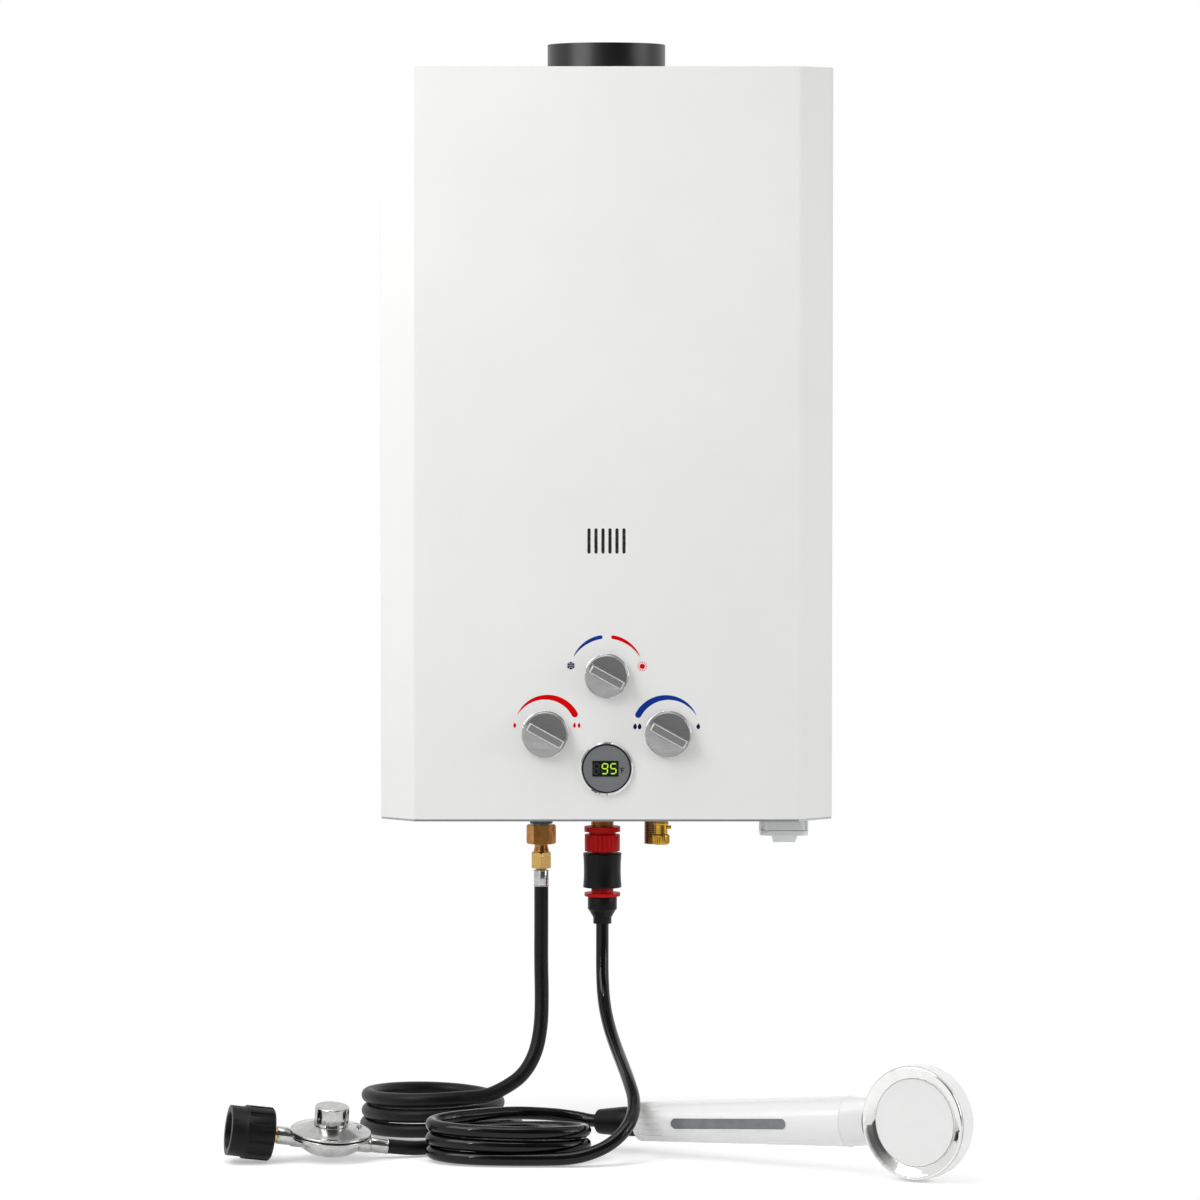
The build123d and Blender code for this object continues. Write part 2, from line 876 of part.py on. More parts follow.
def make_gas_grommet():
    """Rubber ring round the gas spigot, against the bottom plate."""
    bore = gas_spigot_radius + seat_gap
    ring = turned(
        (bore, -grommet_bottom), (grommet_radius, -grommet_bottom), (grommet_radius, case_bottom),
        (bore, case_bottom),
    )
    return Pos(gas_x, connection_y, 0) * ring


def make_gas_adaptor():
    """Brass hexagon adaptor with a flared outlet."""
    nut = hexagon(adaptor_flats, -adaptor_bottom, -adaptor_top)
    spigot = turned(
        (0, -adaptor_bottom), (adaptor_waist_radius, -adaptor_bottom),
        (adaptor_waist_radius, -adaptor_waist_bottom), (flare_radius, -flare_bottom), (0, -flare_bottom),
    )
    return Pos(gas_x, connection_y, 0) * (nut + spigot)


def make_gas_flare_nut():
    """Swivel nut of the gas hose, free to turn on the hose stem."""
    nut = hexagon(flare_nut_flats, -flare_nut_bottom, -flare_bottom - seat_gap, turn=30)
    nut += rod(flare_neck_radius, -flare_neck_bottom, -flare_nut_bottom)
    nut -= rod(hose_stem_radius + running_gap, -flare_neck_bottom - overrun, -flare_bottom + overrun)
    return Pos(gas_x, connection_y, 0) * nut


def make_gas_hose_upper_ferrule():
    """Crimped ferrule with the stem that meets the flare."""
    shell = turned(
        (0, -gas_ferrule_bottom), (gas_ferrule_radius, -gas_ferrule_bottom),
        (gas_ferrule_radius, -gas_ferrule_top), (hose_stem_radius, -gas_ferrule_top),
        (hose_stem_radius, -flare_bottom), (0, -flare_bottom),
    )
    return Pos(gas_x, connection_y, 0) * shell


# Hot outlet and quick connector


def make_hot_tap_nut():
    """Red tap adaptor on the outlet thread, with a flange, a groove and a ribbed nut."""
    bore = thread_radius + running_gap
    nut = turned(
        (0, -tap_neck_bottom), (tap_neck_radius, -tap_neck_bottom), (tap_neck_radius, -tap_nut_bottom),
        (tap_nut_radius, -tap_nut_bottom), (tap_nut_radius, -tap_groove_bottom),
        (tap_groove_radius, -tap_groove_bottom), (tap_groove_radius, -tap_flange_bottom),
        (tap_flange_radius, -tap_flange_bottom), (tap_flange_radius, -tap_nut_top), (bore, -tap_nut_top),
        (bore, -hot_pipe_bottom), (0, -hot_pipe_bottom),
    )
    for index in range(tap_rib_count):
        angle = 2 * pi * index / tap_rib_count
        groove_x = (tap_nut_radius + tap_rib_radius / 2) * cos(angle)
        groove_y = (tap_nut_radius + tap_rib_radius / 2) * sin(angle)
        nut -= Pos(groove_x, groove_y, -tap_nut_bottom - overrun) * extrude(
            RegularPolygon(tap_rib_radius, 4), tap_nut_bottom - tap_groove_bottom + overrun - tap_rib_radius,
        )
    return Pos(hot_x, connection_y, 0) * nut


def make_connector_core():
    """Red core of the quick connector with its lower flange."""
    core = turned(
        (0, -core_flange_bottom), (core_flange_radius, -core_flange_bottom),
        (core_flange_radius, -core_neck_bottom), (core_radius, -core_neck_bottom),
        (core_radius, -tap_neck_bottom), (0, -tap_neck_bottom),
    )
    return Pos(hot_x, connection_y, 0) * core


def make_connector_sleeve():
    """Black release sleeve with a hollow side, which slides on the core."""
    bore = core_radius + running_gap
    top = -tap_neck_bottom - seat_gap
    middle_height = (top - sleeve_bottom) / 2
    side = ThreePointArc(
        (sleeve_radius, 0, -sleeve_bottom), (sleeve_waist_radius, 0, middle_height), (sleeve_radius, 0, top),
    )
    ends = Polyline(
        (sleeve_radius, 0, top), (bore, 0, top), (bore, 0, -sleeve_bottom), (sleeve_radius, 0, -sleeve_bottom),
    )
    return Pos(hot_x, connection_y, 0) * revolve(make_face(side + ends), Axis.Z)


def make_hose_nut():
    """Black nut that tapers to the collar where the shower hose comes out."""
    nut = turned(
        (0, -collar_bottom), (collar_radius, -collar_bottom), (collar_radius, -collar_top),
        (hose_nut_radius - hose_nut_edge, -hose_nut_bottom), (hose_nut_radius, -hose_nut_bottom + hose_nut_edge),
        (hose_nut_radius, -core_flange_bottom), (0, -core_flange_bottom),
    )
    return Pos(hot_x, connection_y, 0) * nut


# Cold inlet and drain


def make_cold_inlet_pipe():
    """Threaded brass cold inlet on a plain pipe under the water valve."""
    pipe = rod(cold_pipe_radius, case_bottom, valve_bottom, cold_x, connection_y)
    return pipe + rod(thread_radius, -cold_bottom, case_bottom, cold_x, connection_y)


def make_drain_valve():
    """Brass drain neck with a relief pin on its right."""
    neck = rod(drain_neck_radius, -drain_neck_bottom, valve_bottom, drain_x, drain_y)
    pin = Rot(0, 90) * Cylinder(drain_pin_radius, drain_pin_reach, align=upright)
    neck += Pos(drain_x, drain_y, -drain_pin_drop) * pin
    bore_top = -drain_neck_bottom + drain_stem_length + seat_gap
    return neck - rod(
        drain_stem_radius + running_gap, -drain_neck_bottom - overrun, bore_top, drain_x, drain_y,
    )


def make_drain_plug():
    """Brass drain plug, turned by hand."""
    top = -drain_neck_bottom - seat_gap
    low = -drain_plug_bottom
    plug = turned(
        (0, low), (drain_plug_radius - drain_plug_edge, low), (drain_plug_radius, low + drain_plug_edge),
        (drain_plug_radius, top - drain_plug_edge), (drain_plug_radius - drain_plug_edge, top),
        (drain_stem_radius, top), (drain_stem_radius, top + drain_stem_length), (0, top + drain_stem_length),
    )
    return Pos(drain_x, drain_y, 0) * plug


# Battery box


def battery_hinge():
    """Y and Z of the battery door's hinge line."""
    return (battery_back - knuckle_radius, -battery_box_bottom - door_gap - door_thickness / 2)


def make_battery_box():
    """Open-bottomed battery box with two hinge ears."""
    low = -battery_box_bottom
    high = low + battery_box_height
    box = block(battery_left, battery_right, battery_front, battery_back, low, high)
    box = fillet(box.edges().filter_by(Axis.Z).group_by(Axis.Y)[0], battery_corner)
    box -= block(
        battery_left + battery_wall, battery_right - battery_wall,
        battery_front + battery_wall, battery_back - battery_wall, low - overrun, high - battery_wall,
    )
    hinge_y, hinge_z = battery_hinge()
    ear_reach = knuckle_radius
    for left in (battery_left, battery_right - ear_width):
        ear = block(left, left + ear_width, hinge_y - ear_reach, battery_back, hinge_z - ear_reach, low)
        box += ear
    hole = Rot(0, 90) * Cylinder(knuckle_pin_radius + running_gap, battery_right - battery_left + overrun)
    return box - Pos((battery_left + battery_right) / 2, hinge_y, hinge_z) * hole


def make_battery_door():
    """Door with a thumb nub, hinged at the back between the ears."""
    hinge_y, hinge_z = battery_hinge()
    top = -battery_box_bottom - door_gap
    low = top - door_thickness
    clear = ear_width + seat_gap
    door = block(battery_left, battery_right, battery_front, hinge_y - 2 * knuckle_radius, low, top)
    door = fillet(door.edges().filter_by(Axis.Z).group_by(Axis.Y)[0], battery_corner)
    inner_left = battery_left + clear
    inner_right = battery_right - clear
    door += block(inner_left, inner_right, hinge_y - 2 * knuckle_radius - door_gap, hinge_y, low, top)
    centre = (battery_left + battery_right) / 2
    door += Pos(centre, hinge_y, hinge_z) * Rot(0, 90) * Cylinder(door_thickness / 2, inner_right - inner_left)
    pin_span = inner_right - inner_left + 2 * knuckle_pin_length
    door += Pos(centre, hinge_y, hinge_z) * Rot(0, 90) * Cylinder(knuckle_pin_radius, pin_span)
    nub_plan = Pos(centre, battery_front + door_nub_inset + door_nub_depth / 2) * Rectangle(
        door_nub_width, door_nub_depth,
    )
    nub = extrude(Plane.XY.offset(low) * nub_plan, -door_nub_height, taper=door_nub_taper)
    return door + nub


def make_batteries():
    """Two D cells, one above the other."""
    x = (battery_left + battery_right) / 2
    y = (battery_front + battery_back) / 2
    cells = []
    for index in range(2):
        low = -battery_box_bottom + seat_gap + index * (cell_length + cell_tip_height)
        cell = rod(cell_radius, low, low + cell_length, x, y)
        cells.append(cell + rod(cell_tip_radius, low, low + cell_length + cell_tip_height, x, y))
    return Compound(cells)


# Hose routes


def route_radii(points):
    """Bend radius at each inner point: as large as its two runs allow."""
    radii = []
    for before, here, after in zip(points, points[1:], points[2:]):
        into = Vector(here) - Vector(before)
        onward = Vector(after) - Vector(here)
        turn = radians(into.get_angle(onward))
        radii.append(bend_share * min(into.length, onward.length) / tan(turn / 2))
    return radii


def hose_run(name, points, radius):
    """Hose stretch along hand-chosen points; prints its bends and checks its volume."""
    radii = route_radii(points)
    path = FilletPolyline(*points, radius=radii)
    hose = sweep(Plane(origin=path @ 0, z_dir=path % 0) * Circle(radius), path=path)
    report_hose(name, hose, path.length, radius)
    print(name, "bend radii", [round(value, 1) for value in radii])
    return hose


def report_hose(name, hose, length, radius):
    """Print a hose's length and its volume against section times length."""
    share = hose.volume / (pi * radius * radius * length)
    print(name, "length", round(length, 1), "volume share", round(share, 4))


class Coil:
    """One coil of hose, clockwise seen from above, with its turns counted from the front."""

    def __init__(self, middle_place, half_sizes, turns, heights, radius):
        """Take the middle, half width and depth, turns, heights and hose radius.

        The turns are the first and last, and those between which the coil climbs. Past the
        second of these it spreads on the floor by the last of the heights, a turn.
        """
        self.x, self.y = middle_place
        self.half_width, self.half_depth = half_sizes
        self.first, self.last, self.climb_from, self.climb_to = turns
        self.start_height, self.rise, self.spread = heights
        self.radius = radius

    def place(self, turn):
        """Centre of the hose at a number of turns."""
        spread = self.spread * max(0, turn - self.climb_to)
        climbed = min(max(turn, self.climb_from), self.climb_to) - self.climb_from
        angle = 2 * pi * turn
        x = self.x - (self.half_width + spread) * sin(angle)
        y = self.y - (self.half_depth + spread) * cos(angle)
        return Vector(x, y, floor + self.start_height + self.rise * climbed)

    def heading(self, turn):
        """Unit direction of the hose at a number of turns."""
        step = 1 / 1000
        return (self.place(turn + step) - self.place(turn - step)).normalized()

    def start(self, lead=0):
        """Where the straight lead into the coil begins, or a point that far before it."""
        return self.place(self.first) - self.heading(self.first) * (2 * self.radius + lead)

    def end(self, lead=0):
        """Where the straight lead out of the coil ends, or a point that far past it."""
        return self.place(self.last) + self.heading(self.last) * (2 * self.radius + lead)


def biarc(start, heading, end, final):
    """Two tangent arcs from one point and heading to another."""
    chord = end - start
    both = heading + final
    openness = 2 * (1 - heading.dot(final))
    reach = (-chord.dot(both) + sqrt(chord.dot(both) ** 2 + openness * chord.dot(chord))) / openness
    joint = (start + heading * reach + end - final * reach) * (1 / 2)
    return [TangentArc(start, joint, tangent=heading), TangentArc(end, joint, tangent=-final)]


def coil_tube(name, coil):
    """Coil swept as one unbroken hose; prints its length and its least gap to itself."""
    inner = range(ceil(coil.first * 4), ceil(coil.last * 4))
    quarters = [index / 4 for index in inner if index / 4 > coil.first]
    stops = [coil.first, *quarters, coil.last]
    edges = [Line(coil.start(), coil.place(coil.first))]
    for now, later in zip(stops, stops[1:]):
        edges += biarc(coil.place(now), coil.heading(now), coil.place(later), coil.heading(later))
    edges.append(Line(coil.place(coil.last), coil.end()))
    path = Wire(edges)
    hose = sweep(Plane(origin=coil.start(), z_dir=coil.heading(coil.first)) * Circle(coil.radius), path=path)
    report_hose(name, hose, path.length, coil.radius)
    print(name, "least gap to itself", round(least_gap(path, coil), 2))
    return hose


def least_gap(path, coil):
    """Least gap between neighbouring turns, measured on points along the path."""
    count = int(gap_samples_a_turn * (coil.last - coil.first))
    places = [path @ (index / count) for index in range(count + 1)]
    apart = gap_samples_a_turn // 2
    least = body_width
    for index, here in enumerate(places):
        for there in places[index + apart:]:
            least = min(least, (there - here).length - 2 * coil.radius)
    return least


gas_coil_drop = gas_coil_top - gas_hose_radius - hose_rest_gap
gas_coil = Coil(
    (gas_coil_x, gas_coil_y), (gas_coil_half_width, gas_coil_half_depth),
    (gas_coil_first_turn, gas_coil_turns, gas_coil_first_turn, gas_coil_round_turns),
    (gas_coil_top, -gas_coil_drop / (gas_coil_round_turns - gas_coil_first_turn), gas_coil_spread),
    gas_hose_radius,
)
shower_coil = Coil(
    (shower_coil_x, shower_coil_y), (shower_coil_half_width, shower_coil_half_depth),
    (0, shower_coil_turns, shower_coil_level_turns, shower_coil_turns),
    (shower_hose_radius + hose_rest_gap, shower_coil_pitch, 0),
    shower_hose_radius,
)


def vectors(route):
    """Hand-chosen route points as vectors."""
    return [Vector(point) for point in route]


def gas_drop_points():
    """Route of the gas hose from its upper ferrule to its coil."""
    return vectors(gas_drop_route) + [gas_coil.start(gas_lead), gas_coil.start()]


def shower_drop_points():
    """Route of the shower hose from the hose nut to its coil."""
    return vectors(shower_drop_route) + [shower_coil.start(shower_lead), shower_coil.start()]


# Regulator


def regulator_frame(tilt_angle):
    """Frame at the regulator's middle: X towards the tank nut, tilted up, and Z out of the cover."""
    tilt = radians(tilt_angle)
    turn = radians(regulator_turn)
    along = Vector(-cos(tilt) * cos(turn), -cos(tilt) * sin(turn), sin(tilt))
    up = Vector(0, 0, 1)
    square_up = (up - along * up.dot(along)).normalized()
    roll = radians(regulator_roll)
    rolled_up = square_up * cos(roll) + along.cross(square_up) * sin(roll)
    return Plane(origin=(regulator_x, regulator_y, floor + regulator_height), x_dir=along, z_dir=rolled_up)


def regulator_plane():
    """Frame of the regulator's rim and cover."""
    return regulator_frame(regulator_tilt)


def regulator_axis_plane(reach):
    """Plane square to the gas way at a distance from the regulator's middle, Z towards the tank nut."""
    frame = regulator_frame(gas_way_tilt)
    origin = frame.from_local_coords((reach, 0, -boss_drop))
    return Plane(origin=origin, x_dir=frame.z_dir, z_dir=frame.x_dir)


def along_gas_way(solid, reach):
    """Solid made along Z, laid on the gas way with its base at a distance from the middle."""
    return regulator_axis_plane(reach) * solid


def make_regulator_body():
    """Lower casting with its bowl, inlet stem and outlet boss."""
    radii = [share * rim_radius for share in bowl_radius_shares]
    depths = [-share * bowl_depth for share in bowl_depth_shares]
    bowl = turned(
        (0, depths[0]), (radii[0], depths[0]), (radii[1], depths[1]), (radii[2], depths[2]),
        (rim_radius, -rim_height), (rim_radius, 0), (0, 0),
    )
    body = regulator_plane() * bowl
    body += along_gas_way(Cylinder(inlet_boss_radius, inlet_boss_reach, align=upright), 0)
    body += along_gas_way(Cylinder(inlet_stem_radius, inlet_stem_reach, align=upright), 0)
    body += along_gas_way(Cylinder(outlet_boss_radius, outlet_boss_reach, align=upright), -outlet_boss_reach)
    lid = regulator_plane() * Cylinder(rim_radius + overrun, bowl_depth, align=upright)
    return body - lid


def make_regulator_cover():
    """Domed cover with a rolled rim and a small vent."""
    radii = [share * rim_radius for share in dome_radius_shares]
    heights = [share * dome_height for share in dome_height_shares]
    dome = turned(
        (0, 0), (rim_radius, 0), (rim_radius, rim_height), (radii[0], heights[0]), (radii[1], heights[1]),
        (radii[2], heights[2]), (0, heights[2]),
    )
    vent_x = -vent_place_share * rim_radius
    dome += Pos(vent_x, 0, 0) * Cylinder(vent_radius, heights[1] + vent_height, align=upright)
    return regulator_plane() * dome


def make_regulator_cap():
    """Adjuster cap on the cover."""
    top = dome_height + cap_height
    cap = turned(
        (0, dome_height), (cap_radius, dome_height), (cap_radius, top - cap_edge),
        (cap_radius - cap_edge, top), (0, top),
    )
    return regulator_plane() * cap


def make_tank_nipple():
    """Brass nipple that carries the tank nut and seals in the tank valve."""
    collar_end = nipple_collar_length
    end = collar_end + nipple_length
    nipple = turned(
        (0, 0), (nipple_collar_radius, 0), (nipple_collar_radius, collar_end), (nipple_radius, collar_end),
        (nipple_radius, end - nipple_tip), (nipple_radius - nipple_tip, end), (0, end),
    )
    return along_gas_way(nipple, inlet_stem_reach)


def make_tank_nut():
    """Black ribbed hand nut with an open mouth for the tank valve."""
    bore = nipple_collar_radius + running_gap
    edge = tank_nut_radius - tank_nut_edge
    step = tank_nut_length - tank_nut_collar_length
    nut = turned(
        (bore, 0), (edge, 0), (tank_nut_radius, tank_nut_edge), (tank_nut_radius, step - tank_nut_edge),
        (tank_nut_collar_radius, step), (tank_nut_collar_radius, tank_nut_length),
        (tank_nut_bore, tank_nut_length), (tank_nut_bore, tank_nut_back), (bore, tank_nut_back),
    )
    centre = tank_nut_radius + tank_nut_groove_radius - tank_nut_groove_depth
    for index in range(tank_nut_rib_count):
        angle = 2 * pi * index / tank_nut_rib_count
        nut -= rod(
            tank_nut_groove_radius, -overrun, step - 2 * tank_nut_edge,
            centre * cos(angle), centre * sin(angle),
        )
    return along_gas_way(nut, tank_nut_start)


def make_lower_ferrule():
    """Crimped ferrule between the regulator and the gas hose."""
    shell = Cylinder(gas_ferrule_radius, lower_ferrule_length, align=upright)
    return along_gas_way(shell, -outlet_boss_reach - lower_ferrule_length)


def gas_tail_points():
    """Route of the gas hose from its coil to the lower ferrule."""
    ferrule_end = -outlet_boss_reach - lower_ferrule_length
    last = [regulator_axis_plane(ferrule_end - lead).origin for lead in (regulator_lead, 0)]
    return [gas_coil.end(), gas_coil.end(gas_lead)] + vectors(gas_tail_route) + last


# Hand shower


def handle_direction():
    """Unit direction from the hose end of the handle to the head."""
    turn = radians(handle_turn)
    rise = radians(handle_rise)
    return Vector(cos(rise) * cos(turn), -cos(rise) * sin(turn), sin(rise))


def spray_direction():
    """Unit direction that the spray plate faces: level and square to the handle."""
    turn = radians(handle_turn)
    return Vector(-sin(turn), -cos(turn), 0)


def handle_plane(reach):
    """Plane square to the handle at a distance from its base, X out of the spray side."""
    origin = Vector(handle_base) + handle_direction() * reach
    return Plane(origin=origin, x_dir=spray_direction(), z_dir=handle_direction())


def head_plane():
    """Plane of the head's middle, Z out of the spray side and X along the handle."""
    origin = Vector(handle_base) + handle_direction() * head_offset
    return Plane(origin=origin, x_dir=handle_direction(), z_dir=spray_direction())


def window_plane():
    """Plane of the slot window's floor, tipped with the taper of the handle."""
    lean = atan2(handle_end_radius - handle_base_radius, handle_length)
    radius = handle_base_radius + (handle_end_radius - handle_base_radius) * slot_window_centre / handle_length
    level = handle_plane(slot_window_centre)
    outward = (level.x_dir * cos(lean) - level.z_dir * sin(lean)).normalized()
    along = (level.z_dir * cos(lean) + level.x_dir * sin(lean)).normalized()
    origin = level.origin + level.x_dir * (radius - slot_window_depth)
    return Plane(origin=origin, x_dir=along, z_dir=outward)


def make_shower_handle():
    """Tapered handle with a ribbed grip, a hose stub and the recess of the slot window."""
    handle = turned(
        (0, -handle_stub_length), (handle_stub_radius, -handle_stub_length), (handle_stub_radius, 0),
        (handle_base_radius - handle_edge, 0), (handle_base_radius, handle_edge),
        (handle_end_radius, handle_length), (0, handle_length),
    )
    for index in range(grip_rib_count):
        angle = 2 * pi * index / grip_rib_count
        reach = handle_base_radius + grip_rib_radius / 2
        groove = extrude(RegularPolygon(grip_rib_radius, 4), grip_rib_length)
        handle -= Pos(reach * cos(angle), reach * sin(angle), grip_rib_start) * groove
    handle = handle_plane(0) * handle
    recess = extrude(
        window_plane() * SlotOverall(slot_window_length, slot_window_width), slot_window_depth + overrun,
    )
    return handle - recess


def make_handle_window():
    """Grey slot window in the handle."""
    pane = SlotOverall(slot_window_length - 2 * running_gap, slot_window_width - 2 * running_gap)
    return extrude(window_plane() * pane, slot_window_depth / 2)


def make_shower_head():
    """Round head shell with the neck that meets the handle."""
    half = head_thickness / 2
    seat = half - ring_thickness
    brim = half - ring_flange - seat_gap
    shell = turned(
        (0, -half), (head_radius - head_edge, -half), (head_radius, -half + head_edge), (head_radius, brim),
        (0, brim),
    )
    round_back = shell.edges().filter_by(GeomType.CIRCLE).group_by(Axis.Z)[1]
    shell = head_plane() * fillet(round_back, head_edge / 2)
    neck = loft([
        handle_plane(handle_length) * Circle(handle_end_radius),
        handle_plane(handle_length + neck_reach) * Ellipse(
            handle_end_radius * neck_width_share, handle_end_radius * neck_height_share,
        ),
    ])
    pocket = rod(ring_body_radius + seat_gap, seat, head_thickness)
    pocket += rod(ring_outer_radius + seat_gap, brim, head_thickness)
    return shell + neck - head_plane() * pocket


def make_shower_ring():
    """Chrome ring that dishes down to the spray plate, with a flange over the shell's brim."""
    seat = head_thickness / 2 - ring_thickness
    top = head_thickness / 2
    ring = turned(
        (ring_inner_radius, seat), (ring_body_radius, seat), (ring_body_radius, top - ring_flange),
        (ring_outer_radius, top - ring_flange), (ring_outer_radius, top - ring_lip),
        (ring_outer_radius - ring_lip, top), (ring_inner_radius, top - dish_depth),
    )
    return head_plane() * ring


def make_spray_plate():
    """White spray plate at the bottom of the ring's dish."""
    seat = head_thickness / 2 - ring_thickness
    plate = rod(ring_inner_radius - seat_gap, seat, seat + ring_thickness - dish_depth)
    return head_plane() * plate


def make_shower_cone_nut():
    """Black cone nut that turns on the handle's stub."""
    start = -seat_gap - cone_length
    end = -seat_gap
    large_from = end - cone_large_share * cone_length
    cone = turned(
        (0, start), (cone_small_radius, start), (cone_large_radius, large_from), (cone_large_radius, end),
        (0, end),
    )
    cone -= rod(handle_stub_radius + running_gap, -handle_stub_length - seat_gap, overrun)
    cone -= rod(shower_hose_radius + cone_bore_gap, start - overrun, overrun)
    return handle_plane(0) * cone


def shower_tail_points():
    """Route of the shower hose from its coil through the cone nut to the handle's stub."""
    mouth = handle_plane(-seat_gap - cone_length - cone_lead).origin
    stub = handle_plane(-handle_stub_length).origin
    leave = [shower_coil.end(), shower_coil.end(shower_leave)]
    return leave + vectors(shower_tail_route) + [mouth, stub]


PIECES = {
    "back_plate": make_back_plate(),
    "front_cover": make_front_cover(),
    "top_plate": make_top_plate(),
    "bottom_plate": make_bottom_plate(),
    "flue_collar": make_flue_collar(),
    "sight_window": make_sight_window(),
    "draft_hood": make_draft_hood(),
    "exchanger_core": make_exchanger_core(),
    "combustion_chamber": make_combustion_chamber(),
    "exchanger_tube": make_exchanger_tube(),
    "hot_pipe": make_hot_pipe(),
    "burner_tray": make_burner_tray(),
    "burner_bars": make_burner_bars(),
    "gas_manifold": make_gas_manifold(),
    "gas_valve": make_gas_valve(),
    "water_valve": make_water_valve(),
    "season_valve": make_season_valve(),
    "display_bezel": make_display_bezel(),
    "display_face": make_display_face(),
    "display_window": make_display_window(),
    "igniter_box": make_igniter_box(),
    "ignition_electrodes": make_ignition_electrodes(),
    "overheat_thermostat": make_overheat_thermostat(),
    "microswitch": make_microswitch(),
    "gas_grommet": make_gas_grommet(),
    "gas_adaptor": make_gas_adaptor(),
    "gas_flare_nut": make_gas_flare_nut(),
    "gas_hose_upper_ferrule": make_gas_hose_upper_ferrule(),
    "gas_hose_drop": hose_run("gas_hose_drop", gas_drop_points(), gas_hose_radius),
    "gas_hose_coil": coil_tube("gas_hose_coil", gas_coil),
    "gas_hose_tail": hose_run("gas_hose_tail", gas_tail_points(), gas_hose_radius),
    "gas_hose_lower_ferrule": make_lower_ferrule(),
    "regulator_body": make_regulator_body(),
    "regulator_cover": make_regulator_cover(),
    "regulator_cap": make_regulator_cap(),
    "tank_nipple": make_tank_nipple(),
    "tank_nut": make_tank_nut(),
    "hot_tap_nut": make_hot_tap_nut(),
    "connector_core": make_connector_core(),
    "connector_sleeve": make_connector_sleeve(),
    "hose_nut": make_hose_nut(),
    "cold_inlet_pipe": make_cold_inlet_pipe(),
    "drain_valve": make_drain_valve(),
    "drain_plug": make_drain_plug(),
    "battery_box": make_battery_box(),
    "battery_door": make_battery_door(),
    "batteries": make_batteries(),
    "shower_hose_drop": hose_run("shower_hose_drop", shower_drop_points(), shower_hose_radius),
    "shower_hose_coil": coil_tube("shower_hose_coil", shower_coil),
    "shower_hose_tail": hose_run("shower_hose_tail", shower_tail_points(), shower_hose_radius),
    "shower_cone_nut": make_shower_cone_nut(),
    "shower_handle": make_shower_handle(),
    "handle_window": make_handle_window(),
    "shower_head": make_shower_head(),
    "shower_ring": make_shower_ring(),
    "spray_plate": make_spray_plate(),
}
for knob_name, knob_place in zip(("season_knob", "gas_knob", "water_knob"), knob_places()):
    PIECES[knob_name] = make_knob(*knob_place)

os.makedirs("parts", exist_ok=True)
for node, solid in PIECES.items():
    export_step(solid, f"parts/{node}.step")
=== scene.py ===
"""Looks of a wall-hung propane tankless water heater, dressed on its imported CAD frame.

Blender's unit is the metre. +Z is up, -Y is the front, and +X is to the right seen from
the front. Sizes in the dataclass fields are millimetres and degrees, as a maker's drawing
gives them.
"""
import logging
import math
from dataclasses import dataclass
from enum import Enum, IntEnum
from typing import Sequence

import bpy
from mathutils import Matrix, Vector


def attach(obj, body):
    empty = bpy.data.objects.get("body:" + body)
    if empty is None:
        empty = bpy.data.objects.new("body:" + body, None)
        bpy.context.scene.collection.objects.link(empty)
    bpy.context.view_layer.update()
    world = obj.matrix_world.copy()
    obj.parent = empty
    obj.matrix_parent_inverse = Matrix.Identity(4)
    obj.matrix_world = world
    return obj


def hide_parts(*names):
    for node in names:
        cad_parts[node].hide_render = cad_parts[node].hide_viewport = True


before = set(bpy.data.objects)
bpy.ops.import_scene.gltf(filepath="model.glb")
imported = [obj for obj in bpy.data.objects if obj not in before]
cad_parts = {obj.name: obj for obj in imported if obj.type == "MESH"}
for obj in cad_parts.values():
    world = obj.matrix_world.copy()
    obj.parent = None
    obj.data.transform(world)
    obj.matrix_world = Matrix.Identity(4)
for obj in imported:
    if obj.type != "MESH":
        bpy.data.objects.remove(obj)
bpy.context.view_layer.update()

LOG = logging.getLogger("heater")
Pair = tuple[float, float]
Triple = tuple[float, float, float]

MM = 0.001
UP = Vector((0, 0, 1))
# Plane of the cover's front, and the underside of the cover.
FRONT = -175.0
UNDERSIDE = -635.0
# Floor under the hoses, and the gap that a hose lies above it.
FLOOR = -937.0
HOSE_REST = 0.6
# Outside radius of a G1/2 pipe thread.
PIPE_THREAD = 10.48
# Radians that Blender's wave texture goes through in one unit of its scale.
WAVE_RATE = 20.0


class Body(str, Enum):
    """Rigid bodies of the frame that pieces ride on."""

    HEATER = "heater"
    SEASON = "season_knob_body"
    GAS = "gas_knob_body"
    WATER = "water_knob_body"
    DRAIN = "drain_plug_body"


class Sides(IntEnum):
    """Number of points on a circle, by what the circle belongs to."""

    BEAD = 10
    DEGREE = 16
    DROP = 24
    SUN = 28
    FERRULE = 48
    KNOB = 64
    PIPE = 72
    PLATE = 96


def linear(hex_colour: str) -> tuple[float, float, float, float]:
    """Turn an sRGB hex colour into linear RGBA.

    Args:
        hex_colour: six hex digits after a hash sign.

    Returns:
        Linear red, green and blue, and an alpha of one.
    """
    values = [int(hex_colour[i:i + 2], 16) / 255 for i in (1, 3, 5)]
    red, green, blue = [
        v / 12.92 if v <= 0.04045 else ((v + 0.055) / 1.055) ** 2.4 for v in values
    ]
    return red, green, blue, 1.0


def per_metre(size_mm: float) -> float:
    """Texture scale at which one repeat measures the given millimetres."""
    return 1 / (size_mm * MM)


